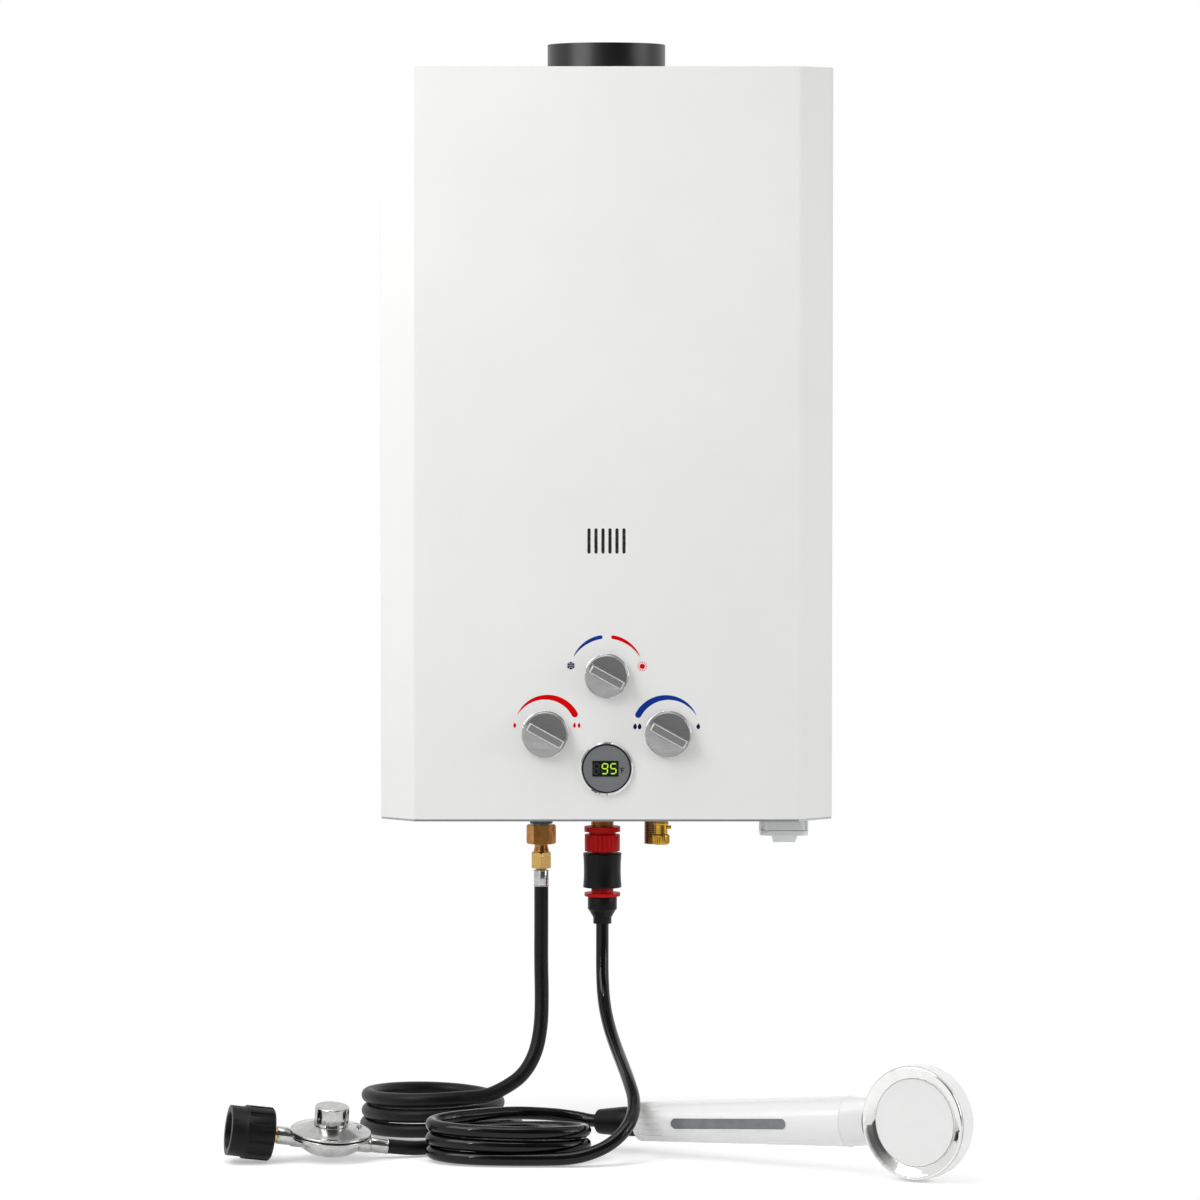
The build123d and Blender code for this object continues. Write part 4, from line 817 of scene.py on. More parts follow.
@dataclass(frozen=True)
class Panel:
    """Printed scales, display and knobs on the front."""

    print_lift: float = 0.06
    knobs: tuple[Knob, ...] = (
        Knob("season_knob", Body.SEASON, 0.0, -502.0, 20.0),
        Knob("gas_knob", Body.GAS, -57.0, -556.0, 21.2),
        Knob("water_knob", Body.WATER, 57.0, -556.0, 21.2),
    )
    blue_arcs: tuple[Arc, ...] = (
        Arc(0.3, -500.2, 34.7, -62, -9.5, 3.5),
        Arc(56.1, -552.1, 30.2, 62, -62, 5.8),
    )
    red_arcs: tuple[Arc, ...] = (
        Arc(0.3, -500.2, 34.7, 62, 9.5, 3.5),
        Arc(-55.7, -551.5, 29.9, -62, 62, 5.8),
    )
    snow: Pair = (-32.9, -492.4)
    snow_spokes: int = 6
    snow_spoke: Triple = (0.3, 3.9, 1.15)
    snow_barb: Triple = (1.8, 3.2, 0.9)
    snow_barb_side: float = 1.4
    sun: Pair = (33.1, -493.0)
    sun_radius: float = 2.5
    sun_rays: int = 12
    sun_ray: Triple = (3.1, 4.9, 0.75)
    flames: tuple[Pair, ...] = ((-84.9, -547.5), (-29.6, -547.5), (-25.4, -547.5))
    flame_size: Triple = (2.7, 5.0, 0.2)
    drops: tuple[Pair, ...] = ((26.4, -548.6), (30.6, -548.6), (84.9, -548.6))
    drop_size: Triple = (3.5, 5.6, 0.3)
    drop_taper: Pair = (0.75, 1.3)
    display: Pair = (0.0, -587.7)
    face_height: float = 2.6
    lens_height: float = 0.6
    # Radii of the painted shade ring round the display plate.
    gap_shade_radii: Triple = (21.5, 22.5, 22.75)
    digit: Pair = (4.9, 9.2)
    digit_stroke: float = 1.2
    digit_gap: float = 0.25
    digit_lean: float = 0.06
    digit_lift: float = 0.04
    reading: tuple[tuple[float, str], ...] = ((-9.2, ""), (-1.5, "abcdfg"), (6.4, "acdfg"))
    unit: Pair = (15.2, -589.4)
    unit_stroke: float = 0.8
    unit_lift: float = 0.05
    unit_letter: tuple[tuple[Pair, Pair], ...] = (
        ((-1.1, -2.9), (-1.1, 2.5)),
        ((-1.5, 2.2), (1.6, 2.2)),
        ((-1.5, 0.1), (1.2, 0.1)),
    )
    degree: Pair = (-2.5, 2.0)
    degree_radii: Pair = (0.8, 0.4)

    def build(self) -> None:
        """Build the knobs, the scales and the display."""
        for knob in self.knobs:
            knob.build()
        self.scales()
        self.icons()
        dress(CHROME, "display_bezel")
        self.seam()
        dress(DISPLAY_GREY, "display_face")
        dress(SMOKED_LENS, "display_window")
        self.digits()
        self.unit_mark()

    def spot(self, x: float, z: float, lift: float | None = None) -> Vector:
        """Point on the front, standing off by the print's thickness or a lift of its own."""
        return Vector((x, FRONT - (self.print_lift if lift is None else lift), z))

    def polar(self, middle: Sequence[float], radius: float, turn: float,
              lift: float | None = None) -> Vector:
        """Point round a place on the front, its angle clockwise from the top.

        Args:
            middle: X and Z of the place.
            radius: distance from it.
            turn: the angle in radians.
            lift: stand-off, where it isn't the print's own.

        Returns:
            The point.
        """
        x = middle[0] + radius * math.sin(turn)
        z = middle[1] + radius * math.cos(turn)
        return self.spot(x, z, lift)

    def sweep(self, shape: Shape, arc: Arc) -> None:
        """Add one tapered arc with a round thick end.

        Args:
            shape: mesh that gets the arc.
            arc: its measures.
        """
        middle = (arc.x, arc.z)
        outer, inner = [], []
        for i in range(arc.steps + 1):
            share = i / arc.steps
            turn = math.radians(arc.tip + (arc.end - arc.tip) * share)
            grown = math.sin(share * math.pi / 2) ** arc.swell
            half = (arc.tip_width + (arc.end_width - arc.tip_width) * grown) / 2
            outer.append(self.polar(middle, arc.radius + half, turn))
            inner.append(self.polar(middle, arc.radius - half, turn))
        shape.strip(outer, inner)
        end = math.radians(arc.end)
        heading = math.copysign(1, arc.end - arc.tip)
        hub = self.polar(middle, arc.radius, end)
        turns = half_turn(arc.cap_steps)
        shape.fan([
            self.polar((hub.x, hub.z), arc.end_width / 2, end + heading * turn) for turn in turns
        ])

    def scales(self) -> None:
        """Print the tapered arcs over the knobs."""
        red, blue = Shape(), Shape()
        for shape, arcs in ((red, self.red_arcs), (blue, self.blue_arcs)):
            for arc in arcs:
                self.sweep(shape, arc)
        red.piece("scales_red", RED_INK, Body.HEATER, smooth=False)
        blue.piece("scales_blue", BLUE_INK, Body.HEATER, smooth=False)

    def drop(self, shape: Shape, place: Pair, size: Triple) -> None:
        """Add one drop or flame: a round foot and a drawn-out tip.

        Args:
            shape: mesh that gets it.
            place: X and Z of its middle.
            size: its width, its height, and how far its tip leans.
        """
        width, height, lean = size
        narrowing, power = self.drop_taper
        rim = []
        for turn in full_turn(Sides.DROP):
            rise = math.cos(turn)
            upper = max(0.0, rise)
            side = width / 2 * math.sin(turn) * (1 - narrowing * upper ** power)
            rim.append(self.spot(place[0] + side + lean * upper, place[1] + height / 2 * rise))
        shape.fan(rim)

    def bar(self, shape: Shape, start: Vector, end: Vector, width: float,
            lift: float | None = None) -> None:
        """Add one straight stroke with pointed ends.

        Args:
            shape: mesh that gets the stroke.
            start: X and Z of one end.
            end: X and Z of the other.
            width: the stroke's width.
            lift: stand-off, where it isn't the print's own.
        """
        along = (end - start).normalized() * width / 2
        side = Vector((-along.y, along.x))
        near, far = start + along, end - along
        rim = [start, near + side, far + side, end, far - side, near - side]
        shape.fan([self.spot(p.x, p.y, lift) for p in rim])

    def snowflake(self, shape: Shape) -> None:
        """Add the spokes, each with two barbs.

        Args:
            shape: mesh that gets them.
        """
        core = Vector(self.snow)
        spoke_from, spoke_to, spoke_width = self.snow_spoke
        barb_from, barb_to, barb_width = self.snow_barb
        for turn in full_turn(self.snow_spokes):
            out = Vector((math.sin(turn), math.cos(turn)))
            side = Vector((out.y, -out.x)) * self.snow_barb_side
            self.bar(shape, core + out * spoke_from, core + out * spoke_to, spoke_width)
            for hand in (-1, 1):
                tip = core + out * barb_to + side * hand
                self.bar(shape, core + out * barb_from, tip, barb_width)

    def sunburst(self, shape: Shape) -> None:
        """Add a disc with its rays.

        Args:
            shape: mesh that gets them.
        """
        core = Vector(self.sun)
        disc = full_turn(Sides.SUN)
        shape.fan([self.polar(self.sun, self.sun_radius, turn) for turn in disc])
        ray_from, ray_to, ray_width = self.sun_ray
        for turn in full_turn(self.sun_rays):
            out = Vector((math.sin(turn), math.cos(turn)))
            self.bar(shape, core + out * ray_from, core + out * ray_to, ray_width)

    def icons(self) -> None:
        """Print the snowflake, sun, flames and drops."""
        red, navy = Shape(), Shape()
        self.snowflake(navy)
        self.sunburst(red)
        for place in self.flames:
            self.drop(red, place, self.flame_size)
        for place in self.drops:
            self.drop(navy, place, self.drop_size)
        red.piece("icons_red", RED_INK, Body.HEATER, smooth=False)
        navy.piece("icons_navy", NAVY_INK, Body.HEATER, smooth=False)

    def segments(self, shape: Shape, middle: float, shown: Sequence[str]) -> None:
        """Add segments of one digit.

        Args:
            shape: mesh that gets them.
            middle: X of the digit's middle.
            shown: letters of the segments, from a at the top, clockwise, to g in the middle.
        """
        half, tall = self.digit[0] / 2, self.digit[1] / 2
        ends = {
            "a": ((-half, tall), (half, tall)),
            "b": ((half, tall), (half, 0)),
            "c": ((half, 0), (half, -tall)),
            "d": ((half, -tall), (-half, -tall)),
            "e": ((-half, -tall), (-half, 0)),
            "f": ((-half, 0), (-half, tall)),
            "g": ((-half, 0), (half, 0)),
        }
        lift = self.face_height + self.lens_height + self.digit_lift
        for name in shown:
            start, end = (Vector(p) for p in ends[name])
            inset = (end - start).normalized() * self.digit_gap
            leaning = [
                Vector((middle + p.x + self.digit_lean * p.y, self.display[1] + p.y))
                for p in (start + inset, end - inset)
            ]
            self.bar(shape, *leaning, self.digit_stroke, lift)

    def digits(self) -> None:
        """Light the reading on the display."""
        bright, dark = Shape(), Shape()
        for middle, lit in self.reading:
            self.segments(bright, middle, lit)
            self.segments(dark, middle, [name for name in "abcdefg" if name not in lit])
        bright.piece("display_digits_lit", LIT_SEGMENT, Body.HEATER, smooth=False)
        dark.piece("display_digits_unlit", DARK_SEGMENT, Body.HEATER, smooth=False)

    def seam(self) -> None:
        """Charcoal ring between the display plate and its bezel: painted shade for the shadowed gap
        and the dark reflection on the bezel's inner slope.
        """
        stand = out_of_front(*self.display)
        height = self.face_height + self.print_lift
        rows = [ring(radius, height, Sides.PLATE, stand) for radius in self.gap_shade_radii]
        Shape.skin(rows).piece("display_gap_shade", DARK_INK, Body.HEATER)

    def unit_mark(self) -> None:
        """Print the degree unit beside the lens."""
        shape = Shape()
        lift = self.face_height + self.unit_lift
        middle = Vector(self.unit)
        for start, end in self.unit_letter:
            self.bar(shape, middle + Vector(start), middle + Vector(end), self.unit_stroke, lift)
        hub = middle + Vector(self.degree)
        turns = [*full_turn(Sides.DEGREE), 2 * math.pi]
        shape.strip(*(
            [self.polar(hub, radius, turn, lift) for turn in turns] for radius in self.degree_radii
        ))
        shape.piece("display_unit", DARK_INK, Body.HEATER, smooth=False)


@dataclass(frozen=True)
class Coil:
    """One coil of hose, clockwise seen from above, with its turns counted from the front."""

    middle: Pair
    half_size: Pair
    span: Pair
    climb: Pair
    start_height: float
    rise: float
    radius: float
    spread: float = 0.0
    settle: float = 0.0
    points_a_turn: int = 16
    look_ahead: float = 0.001

    def place(self, turn: float) -> Vector:
        """Centre of the hose.

        Args:
            turn: the number of turns up to there.

        Returns:
            The point.
        """
        begin, finish = self.climb
        share = (min(max(turn, begin), finish) - begin) / (finish - begin)
        climbed = (finish - begin) * (share + self.settle * share * (1 - share))
        spread = self.spread * max(0.0, turn - finish)
        angle = 2 * math.pi * turn
        return Vector((
            self.middle[0] - (self.half_size[0] + spread) * math.sin(angle),
            self.middle[1] - (self.half_size[1] + spread) * math.cos(angle),
            FLOOR + self.start_height + self.rise * climbed,
        ))

    def heading(self, turn: float) -> Vector:
        """Unit direction of the hose at a number of turns."""
        step = self.look_ahead
        return (self.place(turn + step) - self.place(turn - step)).normalized()

    def start(self, lead: float = 0.0) -> Vector:
        """Point before the coil, straight along its first heading."""
        first = self.span[0]
        return self.place(first) - self.heading(first) * (2 * self.radius + lead)

    def end(self, lead: float = 0.0) -> Vector:
        """Point past the coil, straight along its last heading."""
        last = self.span[1]
        return self.place(last) + self.heading(last) * (2 * self.radius + lead)

    def turns(self) -> list[Vector]:
        """Points round the coil, from its first turn to its last."""
        first, last = self.span
        count = math.ceil((last - first) * self.points_a_turn)
        return [self.place(first + (last - first) * i / count) for i in range(count + 1)]

    def route(self, drop: Sequence[Triple], tail: Sequence[Triple], lead: float,
              leave: float) -> list[Vector]:
        """Points of a hose that comes down to the coil, goes round it and leaves it.

        Args:
            drop: points down to the coil.
            tail: points away from it.
            lead: straight run into the coil.
            leave: straight run out of it.

        Returns:
            All of the hose's points in order.
        """
        return [
            *(Vector(p) for p in drop),
            self.start(lead),
            self.start(),
            *self.turns(),
            self.end(),
            self.end(leave),
            *(Vector(p) for p in tail),
        ]


def hose(name: str, route: Sequence[Vector], radius: float, finish: Finish) -> bpy.types.Object:
    """Make a hose as one smooth spline.

    Args:
        name: the piece's name.
        route: its points.
        radius: the hose's radius.
        finish: its surface.

    Returns:
        The curve object, riding on the heater.
    """
    curve = bpy.data.curves.new(name, "CURVE")
    curve.dimensions = "3D"
    spline = curve.splines.new("NURBS")
    spline.points.add(len(route) - 1)
    for point, place in zip(spline.points, route):
        point.co = (*(place * MM), 1.0)
    spline.order_u = 3
    spline.use_endpoint_u = True
    spline.resolution_u = 10
    curve.bevel_depth = radius * MM
    curve.bevel_resolution = 8
    curve.use_fill_caps = True
    curve.materials.append(finish.material())
    obj = bpy.data.objects.new(name, curve)
    bpy.context.scene.collection.objects.link(obj)
    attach(obj, Body.HEATER.value)
    LOG.info("hose %s has %d points", name, len(route))
    return obj


@dataclass(frozen=True)
class GasLine:
    """Gas inlet, hose and regulator."""

    hose_radius: float = 6.65
    length: float = 1634.0
    lead: float = 18.0
    coil_middle: Pair = (-163.3, -97.0)
    coil_half: Pair = (62.0, 66.0)
    coil_span: Pair = (-0.06, 2.75)
    coil_climb: Pair = (-0.06, 2.2)
    coil_top: float = 39.5
    coil_spread: float = 30.0
    coil_settle: float = 0.05
    regulator: Triple = (-251.5, -275.0, -912.9)
    regulator_lead: float = 20.0
    outlet_reach: float = 54.0
    boss_drop: float = 6.5
    tilt: float = 7.5
    turn: float = 12.0
    roll: float = -9.0
    rim_tilt: float = 2.5
    rim_radius: float = 36.0
    rim_lip_heights: Pair = (2.4, -0.7)
    rim_lip_radius: float = 1.0
    seal_stands_out: float = 0.2
    seal_height: float = 0.85
    seal_radius: float = 0.7
    ferrule_radius: float = 7.0
    upper_crimps: Pair = (-689.7, -704.1)
    lower_crimps: Pair = (-37.6, -53.4)
    crimp_radius: float = 0.5
    fine_rounding: float = 0.5
    cast_rounding: float = 0.9
    drop_route: tuple[Triple, ...] = (
        (-61.2, -100.0, -704.7), (-61.2, -100.0, -741.0), (-61.4, -101.0, -776.0),
        (-60.6, -105.5, -809.0), (-61.4, -112.5, -837.0), (-66.5, -121.0, -861.0),
        (-78.0, -130.5, -879.5), (-94.5, -139.0, -890.0),
    )
    tail_route: tuple[Triple, ...] = (
        (-85.5, -148.0, -929.9), (-92.0, -167.5, -930.0), (-102.5, -185.5, -929.9),
        (-116.5, -203.0, -930.0), (-132.1, -219.9, -929.9), (-148.1, -236.7, -930.0),
        (-163.8, -249.2, -929.7),
    )

    def coil(self) -> Coil:
        """The gas hose's coil on the floor, laid from the top down.

        Returns:
            The coil.
        """
        drop = self.coil_top - self.hose_radius - HOSE_REST
        turns = self.coil_climb[1] - self.coil_climb[0]
        return Coil(
            self.coil_middle, self.coil_half, self.coil_span, self.coil_climb,
            start_height=self.coil_top, rise=-drop / turns, radius=self.hose_radius,
            spread=self.coil_spread, settle=self.coil_settle,
        )

    def axes(self, tilt: float) -> tuple[Vector, Vector]:
        """Directions of the regulator as it lies.

        Args:
            tilt: how far its gas way points up.

        Returns:
            Along the gas way towards the tank nut, and up, square to it.
        """
        rise, turn, roll = (math.radians(v) for v in (tilt, self.turn, self.roll))
        level = math.cos(rise)
        along = Vector((-level * math.cos(turn), -level * math.sin(turn), math.sin(rise)))
        square_up = (UP - along * UP.dot(along)).normalized()
        return along, square_up * math.cos(roll) + along.cross(square_up) * math.sin(roll)

    def gas_way(self, reach: float) -> Vector:
        """Point on the regulator's gas way, at a distance from its middle to the tank nut."""
        along, up = self.axes(self.tilt)
        return Vector(self.regulator) + along * reach - up * self.boss_drop

    def rim_lips(self) -> None:
        """Rolled lips of the regulator's rim, with the diaphragm's edge between them."""
        along, up = self.axes(self.rim_tilt)
        axes = Matrix((along, up.cross(along), up)).transposed()
        stand = Matrix.Translation(self.regulator) @ axes.to_4x4()
        paths = [ring(self.rim_radius, z, Sides.PLATE, stand) for z in self.rim_lip_heights]
        lips = Shape.beads(paths, up, self.rim_lip_radius)
        lips.piece("regulator_rim_lips", ZINC, Body.HEATER)
        radius = self.rim_radius + self.seal_stands_out
        path = ring(radius, self.seal_height, Sides.PLATE, stand)
        seal = Shape.beads([path], up, self.seal_radius)
        seal.piece("regulator_diaphragm_edge", RUBBER, Body.HEATER)

    def ferrule_lips(self) -> list[bpy.types.Object]:
        """Rolled lips of the two ferrules.

        Returns:
            The lips of the upper and of the lower ferrule.
        """
        x, y, _ = self.drop_route[0]
        stand = Matrix.Translation((x, y, 0.0))
        upper = [ring(self.ferrule_radius, z, Sides.FERRULE, stand) for z in self.upper_crimps]
        along, _ = self.axes(self.tilt)
        lie = along.to_track_quat("Z", "Y").to_matrix().to_4x4()
        lower = []
        for reach in self.lower_crimps:
            stand = Matrix.Translation(self.gas_way(reach)) @ lie
            lower.append(ring(self.ferrule_radius, 0.0, Sides.FERRULE, stand))
        lips = []
        for name, paths, up in (("upper", upper, UP), ("lower", lower, along)):
            shape = Shape.beads(paths, up, self.crimp_radius)
            lips.append(shape.piece(f"{name}_ferrule_lips", ZINC, Body.HEATER))
        return lips

    def build(self) -> None:
        """Dress the fittings and lay the hose."""
        ferrules = ["gas_hose_upper_ferrule", "gas_hose_lower_ferrule"]
        castings = ["regulator_body", "regulator_cover", "regulator_cap"]
        dress(GREY_RUBBER, "gas_grommet")
        dress(FORGED_BRASS, "gas_adaptor")
        dress(BRASS, "gas_flare_nut", "tank_nipple")
        dress(ZINC, *ferrules, *castings)
        dress(BLACK_PP, "tank_nut")
        soften(self.fine_rounding, "gas_adaptor", "gas_flare_nut", *ferrules)
        soften(self.cast_rounding, *castings, "tank_nut")
        self.rim_lips()
        lips = self.ferrule_lips()
        reaches = (self.outlet_reach + self.regulator_lead, self.outlet_reach)
        tail = [*self.tail_route, *(self.gas_way(-reach) for reach in reaches)]
        route = self.coil().route(self.drop_route, tail, self.lead, self.lead)
        line = hose("gas_hose", route, self.hose_radius, RUBBER)
        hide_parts("gas_hose_drop", "gas_hose_coil", "gas_hose_tail")


@dataclass(frozen=True)
class Thread:
    """Pipe thread drawn as a helix on a round skin."""

    x: float
    y: float
    top: float
    low: float
    crest: float = 0.0
    root: float = 0.0
    radius: float = PIPE_THREAD
    pitch: float = 1.81
    steps_a_pitch: int = 10
    fade_steps: int = 6

    def rows(self) -> list[list[Vector]]:
        """Rings of points down the thread, each drawn in and out by the helix.

        Returns:
            The rings from the top down.
        """
        steps = math.ceil((self.top - self.low) / self.pitch * self.steps_a_pitch)
        rows = []
        for step in range(steps + 1):
            height = self.top + (self.low - self.top) * step / steps
            fade = min(1.0, min(step, steps - step) / self.fade_steps)
            row = []
            for turn in full_turn(Sides.PIPE):
                wave = math.cos(2 * math.pi * height / self.pitch - turn)
                relief = self.crest * max(0.0, wave) + self.root * min(0.0, wave)
                reach = self.radius + relief * fade
                x = self.x + reach * math.cos(turn)
                y = self.y + reach * math.sin(turn)
                row.append(Vector((x, y, height)))
            rows.append(row)
        return rows


@dataclass(frozen=True)
class HotOutlet:
    """Threaded outlet with the quick connector of the shower hose."""

    thread: Thread = Thread(-3.8, -100.0, top=-635.1, low=-648.3, crest=0.35)
    rounding: float = 0.6

    def build(self) -> None:
        """Dress the connector and cut the thread that shows above it."""
        dress(RED_PP, "hot_tap_nut", "connector_core")
        dress(BLACK_PP, "connector_sleeve", "hose_nut")
        soften(self.rounding, "connector_sleeve", "connector_core", "hose_nut")
        Shape.skin(self.thread.rows()).piece("hot_outlet_thread", COPPER, Body.HEATER)


@dataclass(frozen=True)
class ColdSide:
    """Cold inlet and drain valve."""

    thread: Thread = Thread(46.0, -100.0, top=UNDERSIDE, low=-664.3, root=0.75)
    pipe_radius: float = 8.0
    pipe_top: float = -586.0
    bore_radius: float = 7.2
    bore_depth: float = 40.0
    drain: Pair = (51.1, -135.0)
    plug_rounding: float = 0.4
    neck_profile: tuple[Pair, ...] = (
        (6.05, -635.5), (7.3, -636.2), (7.3, -638.4), (6.3, -639.2),
        (6.3, -641.0), (7.0, -641.6), (7.0, -643.0), (6.05, -643.8),
    )
    knurl_count: int = 24
    knurl_ends: Pair = (-654.0, -660.4)
    knurl_ridge: tuple[Pair, ...] = ((7.55, -0.55), (8.0, 0.0), (7.55, 0.55))

    def build(self) -> None:
        """Cut the inlet's thread and bore, and dress the drain valve."""
        thread = self.thread
        stand = Matrix.Translation((thread.x, thread.y, 0))
        pipe, bore = (
            [ring(radius, height, Sides.PIPE, stand) for height in heights]
            for radius, heights in (
                (self.pipe_radius, (self.pipe_top, thread.top)),
                (self.bore_radius, (thread.low, thread.low + self.bore_depth)),
            )
        )
        shape = Shape.skin([*pipe, *thread.rows(), *bore])
        inlet = shape.piece("cold_inlet_thread", DARK_BRASS, Body.HEATER)
        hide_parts("cold_inlet_pipe")
        dress(BRIGHT_BRASS, "drain_valve", "drain_plug")
        soften(self.plug_rounding, "drain_plug")
        self.drain_rings()

    def drain_rings(self) -> None:
        """Turned beads on the drain's neck and the knurl of its plug."""
        stand = Matrix.Translation((*self.drain, 0))
        neck = Shape.skin([ring(r, z, Sides.FERRULE, stand) for r, z in self.neck_profile])
        neck.piece("drain_neck_beads", BRIGHT_BRASS, Body.HEATER)
        knurl = Shape()
        for turn in full_turn(self.knurl_count):
            place = stand @ Matrix.Rotation(turn, 4, "Z")
            knurl.strip(*(
                [place @ Vector((r, s, z)) for r, s in self.knurl_ridge] for z in self.knurl_ends
            ))
        knurl.piece("drain_plug_knurl", BRIGHT_BRASS, Body.DRAIN, smooth=False)


@dataclass(frozen=True)
class BatteryBay:
    """Milky battery box and its door."""

    rounding: float = 0.8

    def build(self) -> None:
        """Dress the box, the door and the cells."""
        dress(FROSTED_PP, "battery_box", "battery_door")
        dress(ZINC, "batteries")
        soften(self.rounding, "battery_box", "battery_door")


@dataclass(frozen=True)
class HandShower:
    """Shower hose, cone nut and hand shower."""

    hose_radius: float = 6.0
    length: float = 1429.0
    lead: float = 22.0
    leave: float = 17.0
    coil_middle: Pair = (-89.5, -278.5)
    coil_half: Pair = (71.0, 38.0)
    coil_span: Pair = (0.0, 2.37)
    coil_climb: Pair = (0.1, 2.37)
    coil_pitch: float = 12.6
    base: Triple = (31.5, -240.0, -907.0)
    turn: float = 32.0
    rise: float = 4.4
    mouth_reach: float = 50.0
    stub_reach: float = 10.0
    base_radius: float = 18.0
    end_radius: float = 22.7
    handle_length: float = 221.0
    slot_size: Pair = (123.0, 9.7)
    slot_middle: float = 104.8
    slot_points: int = 40
    lip_margin: float = 0.5
    lip_depth: float = 0.1
    lip_radius: float = 0.6
    joint_radius: float = 0.35
    rounding: float = 0.5
    drop_route: tuple[Triple, ...] = (
        (-3.8, -100.0, -739.8), (-3.8, -100.0, -762.0), (-3.9, -106.0, -788.0),
        (-2.4, -121.5, -812.0), (2.6, -146.5, -832.5), (9.4, -178.5, -848.5),
        (15.8, -212.0, -860.5), (21.0, -242.5, -871.0), (25.4, -267.0, -883.0),
        (24.2, -286.5, -895.5), (16.7, -301.5, -907.0), (4.0, -311.0, -917.5),
        (-12.5, -315.8, -925.0), (-32.0, -317.3, -929.6),
    )
    tail_route: tuple[Triple, ...] = (
        (-97.0, -227.5, -901.2), (-78.0, -218.0, -902.3), (-59.2, -211.0, -904.0),
        (-41.7, -206.8, -906.0), (-25.2, -207.8, -908.4),
    )

    def coil(self) -> Coil:
        """The shower hose's coil on the floor, laid from the floor up.

        Returns:
            The coil.
        """
        return Coil(
            self.coil_middle, self.coil_half, self.coil_span, self.coil_climb,
            start_height=self.hose_radius + HOSE_REST, rise=self.coil_pitch,
            radius=self.hose_radius,
        )

    def direction(self) -> Vector:
        """Unit direction from the handle's hose end to the head."""
        turn, rise = math.radians(self.turn), math.radians(self.rise)
        level = math.cos(rise)
        return Vector((level * math.cos(turn), -level * math.sin(turn), math.sin(rise)))

    def handle_beads(self) -> None:
        """Raised lip round the slot window, and the joint between the handle and the head."""
        turn = math.radians(self.turn)
        base, along = Vector(self.base), self.direction()
        spray = Vector((-math.sin(turn), -math.cos(turn), 0))
        across = along.cross(spray)
        taper = (self.end_radius - self.base_radius) / self.handle_length
        half_width = self.slot_size[1] / 2 + self.lip_margin
        straight = (self.slot_size[0] - self.slot_size[1]) / 2
        path = []
        for i in range(self.slot_points):
            angle = 2 * math.pi * (i + 0.5) / self.slot_points
            half_way = math.copysign(straight, math.cos(angle))
            reach = self.slot_middle + half_way + half_width * math.cos(angle)
            side = half_width * math.sin(angle)
            surface = math.sqrt((self.base_radius + taper * reach) ** 2 - side ** 2)
            out = surface - self.lip_depth
            path.append(base + along * reach + across * side + spray * out)
        lip = Shape.beads([path], spray, self.lip_radius)
        stand = Matrix.Translation(base) @ along.to_track_quat("Z", "Y").to_matrix().to_4x4()
        seam = ring(self.end_radius, self.handle_length, Sides.PIPE, stand)
        joint = Shape.beads([seam], along, self.joint_radius)
        lip.piece("handle_window_lip", WHITE_ABS, Body.HEATER)
        joint.piece("handle_joint", WHITE_ABS, Body.HEATER)

    def build(self) -> None:
        """Dress the hand shower and lay its hose."""
        dress(BLACK_PP, "shower_cone_nut")
        dress(WHITE_ABS, "shower_handle", "shower_head", "spray_plate")
        dress(TINTED_LENS, "handle_window")
        dress(CHROME, "shower_ring")
        soften(self.rounding, "shower_cone_nut", "spray_plate", "shower_ring")
        self.handle_beads()
        base, along = Vector(self.base), self.direction()
        reaches = (self.mouth_reach, self.stub_reach)
        tail = [*self.tail_route, *(base - along * reach for reach in reaches)]
        route = self.coil().route(self.drop_route, tail, self.lead, self.leave)
        line = hose("shower_hose", route, self.hose_radius, VINYL)
        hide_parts("shower_hose_drop", "shower_hose_coil", "shower_hose_tail")


# Floor, light and camera


@dataclass(frozen=True)
class Lamp:
    """A soft area lamp, square or, where it has a height of its own, a strip."""

    name: str
    place: Triple
    aim: Triple
    size: float
    watts: float
    tall: float = 0.0

    def hang(self) -> None:
        """Hang the lamp and point it at its aim."""
        data = bpy.data.lights.new(self.name, "AREA")
        data.energy = self.watts
        data.size = self.size * MM
        if self.tall:
            data.shape = "RECTANGLE"
            data.size_y = self.tall * MM
        way = Vector(self.aim) - Vector(self.place)
        lamp = bpy.data.objects.new(self.name, data)
        lamp.location = Vector(self.place) * MM
        lamp.rotation_euler = way.to_track_quat("-Z", "Y").to_euler()
        bpy.context.scene.collection.objects.link(lamp)


